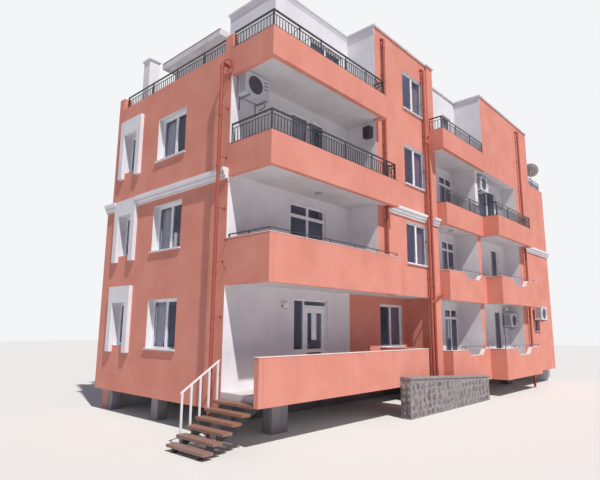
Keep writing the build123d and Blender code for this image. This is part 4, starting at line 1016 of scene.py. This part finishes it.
def ceiling_light(x, y, z, radius):
    """A dished disc under a slab: the lower rim of a short cylinder drawn in."""
    piece = added(
        bpy.ops.mesh.primitive_cylinder_add, vertices=32, radius=radius, depth=0.05,
        location=at(x, y, z - 0.025))
    return bevel_edges(settle(piece), 0.018, 3)


ceiling = [ceiling_light(2.98, -0.58, level(2), 0.11), ceiling_light(10.8, -1.0, level(2), 0.1)]
bulkhead = rod(at(12.0, MIDDLE_WALL_Y - 0.05, 2.3), at(12.0, MIDDLE_WALL_Y, 2.3), 0.08, 24)
joined(ceiling + [bulkhead], "ceiling_and_wall_lights", lamp_shade)

# Chimney cap and pot
chimney_low, chimney_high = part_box("chimney")
middle = (chimney_low + chimney_high) / 2
middle.z = chimney_high.z
cap_low = Vector((chimney_low.x - 0.05, chimney_low.y - 0.05, chimney_high.z))
cap = bar(cap_low, chimney_high + Vector((0.05, 0.05, 0.06)), 0.01)
pot = rod(middle + Vector((0, 0, 0.06)), middle + Vector((0, 0, 0.16)), 0.11, 24)
joined([cap, pot], "chimney_cap", coping_concrete)


# Rubble: split stones bedded in the mortar of the plinth's front, ends and top
PLINTH_X = (5.6, 11.45)
PLINTH_Y = (-1.95, -1.6)


def plinth_top(x):
    return 0.25 - 0.3 * (x - PLINTH_X[0]) / (PLINTH_X[1] - PLINTH_X[0])


def stone_at(dice, place, size):
    """One split stone: a low sphere squeezed to its size, with every corner knocked about."""
    piece = added(bpy.ops.mesh.primitive_ico_sphere_add, subdivisions=2, radius=0.5, location=place)
    piece.rotation_euler = (dice.uniform(-0.15, 0.15), dice.uniform(0, pi), dice.uniform(-0.15, 0.15))
    piece.scale = size
    settle(piece)
    for vertex in piece.data.vertices:
        away = vertex.co - place
        vertex.co = place + away * dice.uniform(0.82, 1.12)
    return piece


pattern_dice = Random(5)
masters = [stone_at(pattern_dice, Vector((0, 0, 0)), Vector((1, 0.3, 0.8))) for _ in range(8)]
dice = Random(11)
stones = []
ground_z = -CORNER.z
z = ground_z + 0.12
while z < 0.3:
    x = PLINTH_X[0] + 0.05
    height = dice.uniform(0.17, 0.24)
    while x < PLINTH_X[1] - 0.1:
        width = dice.uniform(0.2, 0.42)
        width = min(width, PLINTH_X[1] - x)
        middle_x = x + width / 2
        if z + height / 2 < plinth_top(middle_x) + 0.02:
            place = Matrix.Translation(at(middle_x, PLINTH_Y[0] + 0.015, z + dice.uniform(-0.02, 0.02)))
            turn = Matrix.Rotation(dice.uniform(-0.2, 0.2), 4, "Y")
            size = Matrix.Diagonal((width * 1.05, 0.16, height * 1.3, 1))
            stones.append(copied(dice.choice(masters), place @ turn @ size))
        x += width
    z += height
for x in PLINTH_X:
    z = ground_z + 0.12
    while z < plinth_top(x) - 0.1:
        for y in (-1.86, -1.7):
            stone_pattern = dice.choice(masters)
            place = Matrix.Translation(at(x, y, z + dice.uniform(-0.02, 0.02)))
            stones.append(copied(stone_pattern, place @ Matrix.Diagonal((0.1, 0.55, 0.24, 1))))
        z += 0.2
for master in masters:
    bpy.data.objects.remove(master)
joined(stones, "plinth_stones", stone)
top_line = [(PLINTH_X[0] - 0.02, plinth_top(PLINTH_X[0])), (PLINTH_X[1] + 0.02, plinth_top(PLINTH_X[1]))]
top_band = strip_along(top_line, PLINTH_Y[0] - 0.03, PLINTH_Y[1], 0.06)
joined([top_band], "plinth_top_band", joint_mortar)

# Curtains hung inside the panes, gathered in folds
FOLD = 0.11


def curtain(name, item, column, colour, cover, drawn):
    """A gathered cloth behind one column of panes: cover is its share of the width, and drawn is how far its
    foot is tied back to the left."""
    cells = lights(item["width"], item["height"], item["columns"], item["transom"])
    rows = len(cells) // item["columns"]
    cells = cells[column * rows:(column + 1) * rows]
    x0, x1 = cells[0][0]
    z0, z1 = min(c[1][0] for c in cells) - 0.04, max(c[1][1] for c in cells) + 0.03
    width = (x1 - x0 + 0.06) * cover
    folds = max(2, round(width / FOLD))
    piece = added(bpy.ops.mesh.primitive_grid_add, x_subdivisions=folds * 8, y_subdivisions=8, size=1)
    for vertex in piece.data.vertices:
        across, height = vertex.co.x + 0.5, vertex.co.y + 0.5
        reach = width * (1 - drawn * (1 - height) ** 1.5)
        wave = 0.02 * sin(across * folds * 2 * pi) * (0.6 + 0.4 * (1 - height))
        depth = item["reveal"] + FRAME_DEPTH + 0.05 + wave
        vertex.co = (x0 - 0.03 + across * reach, depth, z0 + height * (z1 - z0))
    piece.data.transform(item["place"])
    top = max(vertex.co.z for vertex in piece.data.vertices)
    top_row = [vertex.co.copy() for vertex in piece.data.vertices if abs(vertex.co.z - top) < 1e-4]
    top_row.sort(key=lambda co: (item["place"].inverted() @ co).x)
    with_modifier(piece, "SOLIDIFY", thickness=0.0015)
    bpy.ops.object.shade_smooth()
    joined([piece], name, colour)


def of_kind(kind):
    return [item for item in openings if item["kind"] == kind]


# Which openings have curtains, and for each curtain its name, its column of panes, its cloth, its share of
# the width and how far it is tied back. Those of the rear and the right end hang left and right by turns.
hangings = [
    (of_kind("left_wide"), [("left", 0, pale_cloth, 0.95, 0.45)]),
    (of_kind("bay") + of_kind("bay_ground"), [
        ("bay", 1, brown_cloth, 0.95, 0.15),
        ("bay_left", 0, pale_cloth, 0.35, 0.1)]),
    (of_kind("middle_door"), [("middle", 0, pale_cloth, 1.0, 0.1)]),
    (of_kind("corner_door")[1:], [
        ("corner", 0, pale_cloth, 1.0, 0.5),
        ("corner_right", 1, pale_cloth, 0.5, 0.2)]),
    (of_kind("penthouse") + of_kind("terrace"), [
        ("terrace", 0, pale_cloth, 1.0, 0.05),
        ("terrace_right", 1, pale_cloth, 0.8, 0.05)]),
    (of_kind("end_door"), [("end_door", 0, pale_cloth, 0.7, 0.2)]),
    (of_kind("left_narrow"), [("narrow", 0, pale_cloth, 0.9, 0.3)]),
    (of_kind("end_top"), [("end", 0, blue_cloth, 0.8, 0.1)]),
    (of_kind("rear")[::2], [("rear", None, pale_cloth, 0.9, 0.35)]),
    (of_kind("right")[::2], [("right", None, pale_cloth, 0.9, 0.35)]),
]
for items, curtains in hangings:
    for index, item in enumerate(items):
        for name, column, colour, cover, drawn in curtains:
            column = index % 2 if column is None else column
            if column < item["columns"]:
                curtain(f"curtain_{name}_{index}", item, column, colour, cover, drawn)

# World, sun and floor
world = bpy.data.worlds.new("studio")
bpy.context.scene.world = world
world.use_nodes = True
sky = world.node_tree
sky.nodes.clear()
soft = add_node(sky, "Background", {"Color": paint("#C8D6FF"), "Strength": 0.23})
backdrop = add_node(sky, "Background", {"Color": paint("#F4F5F7"), "Strength": 1.0})
rays = add_node(sky, "LightPath").outputs
bent = {0: rays["Is Glossy Ray"], 1: rays["Is Transmission Ray"]}
mirrored = add_node(sky, "Math", bent, operation="MAXIMUM")
seen = add_node(sky, "Math", {0: rays["Is Camera Ray"], 1: mirrored}, operation="MAXIMUM")
shown = add_node(sky, "MixShader", {0: seen, 1: soft.outputs[0], 2: backdrop.outputs[0]})
add_node(sky, "OutputWorld", {"Surface": shown.outputs[0]})

sun = added(bpy.ops.object.light_add, type="SUN")
sun.name = "key_light"
sun.data.energy = 3.8
sun.data.angle = radians(1.2)
sun.data.color = (1.0, 0.975, 0.94)
sun.rotation_mode = "QUATERNION"
sun.rotation_quaternion = Vector((0.234, 0.678, -1.0)).to_track_quat("-Z", "Y")

floor = added(bpy.ops.mesh.primitive_plane_add, size=160)
floor.name = "studio_floor"
floor.data.materials.append(new_material("pale_floor", "#DEDCD8", 0.9)[0])
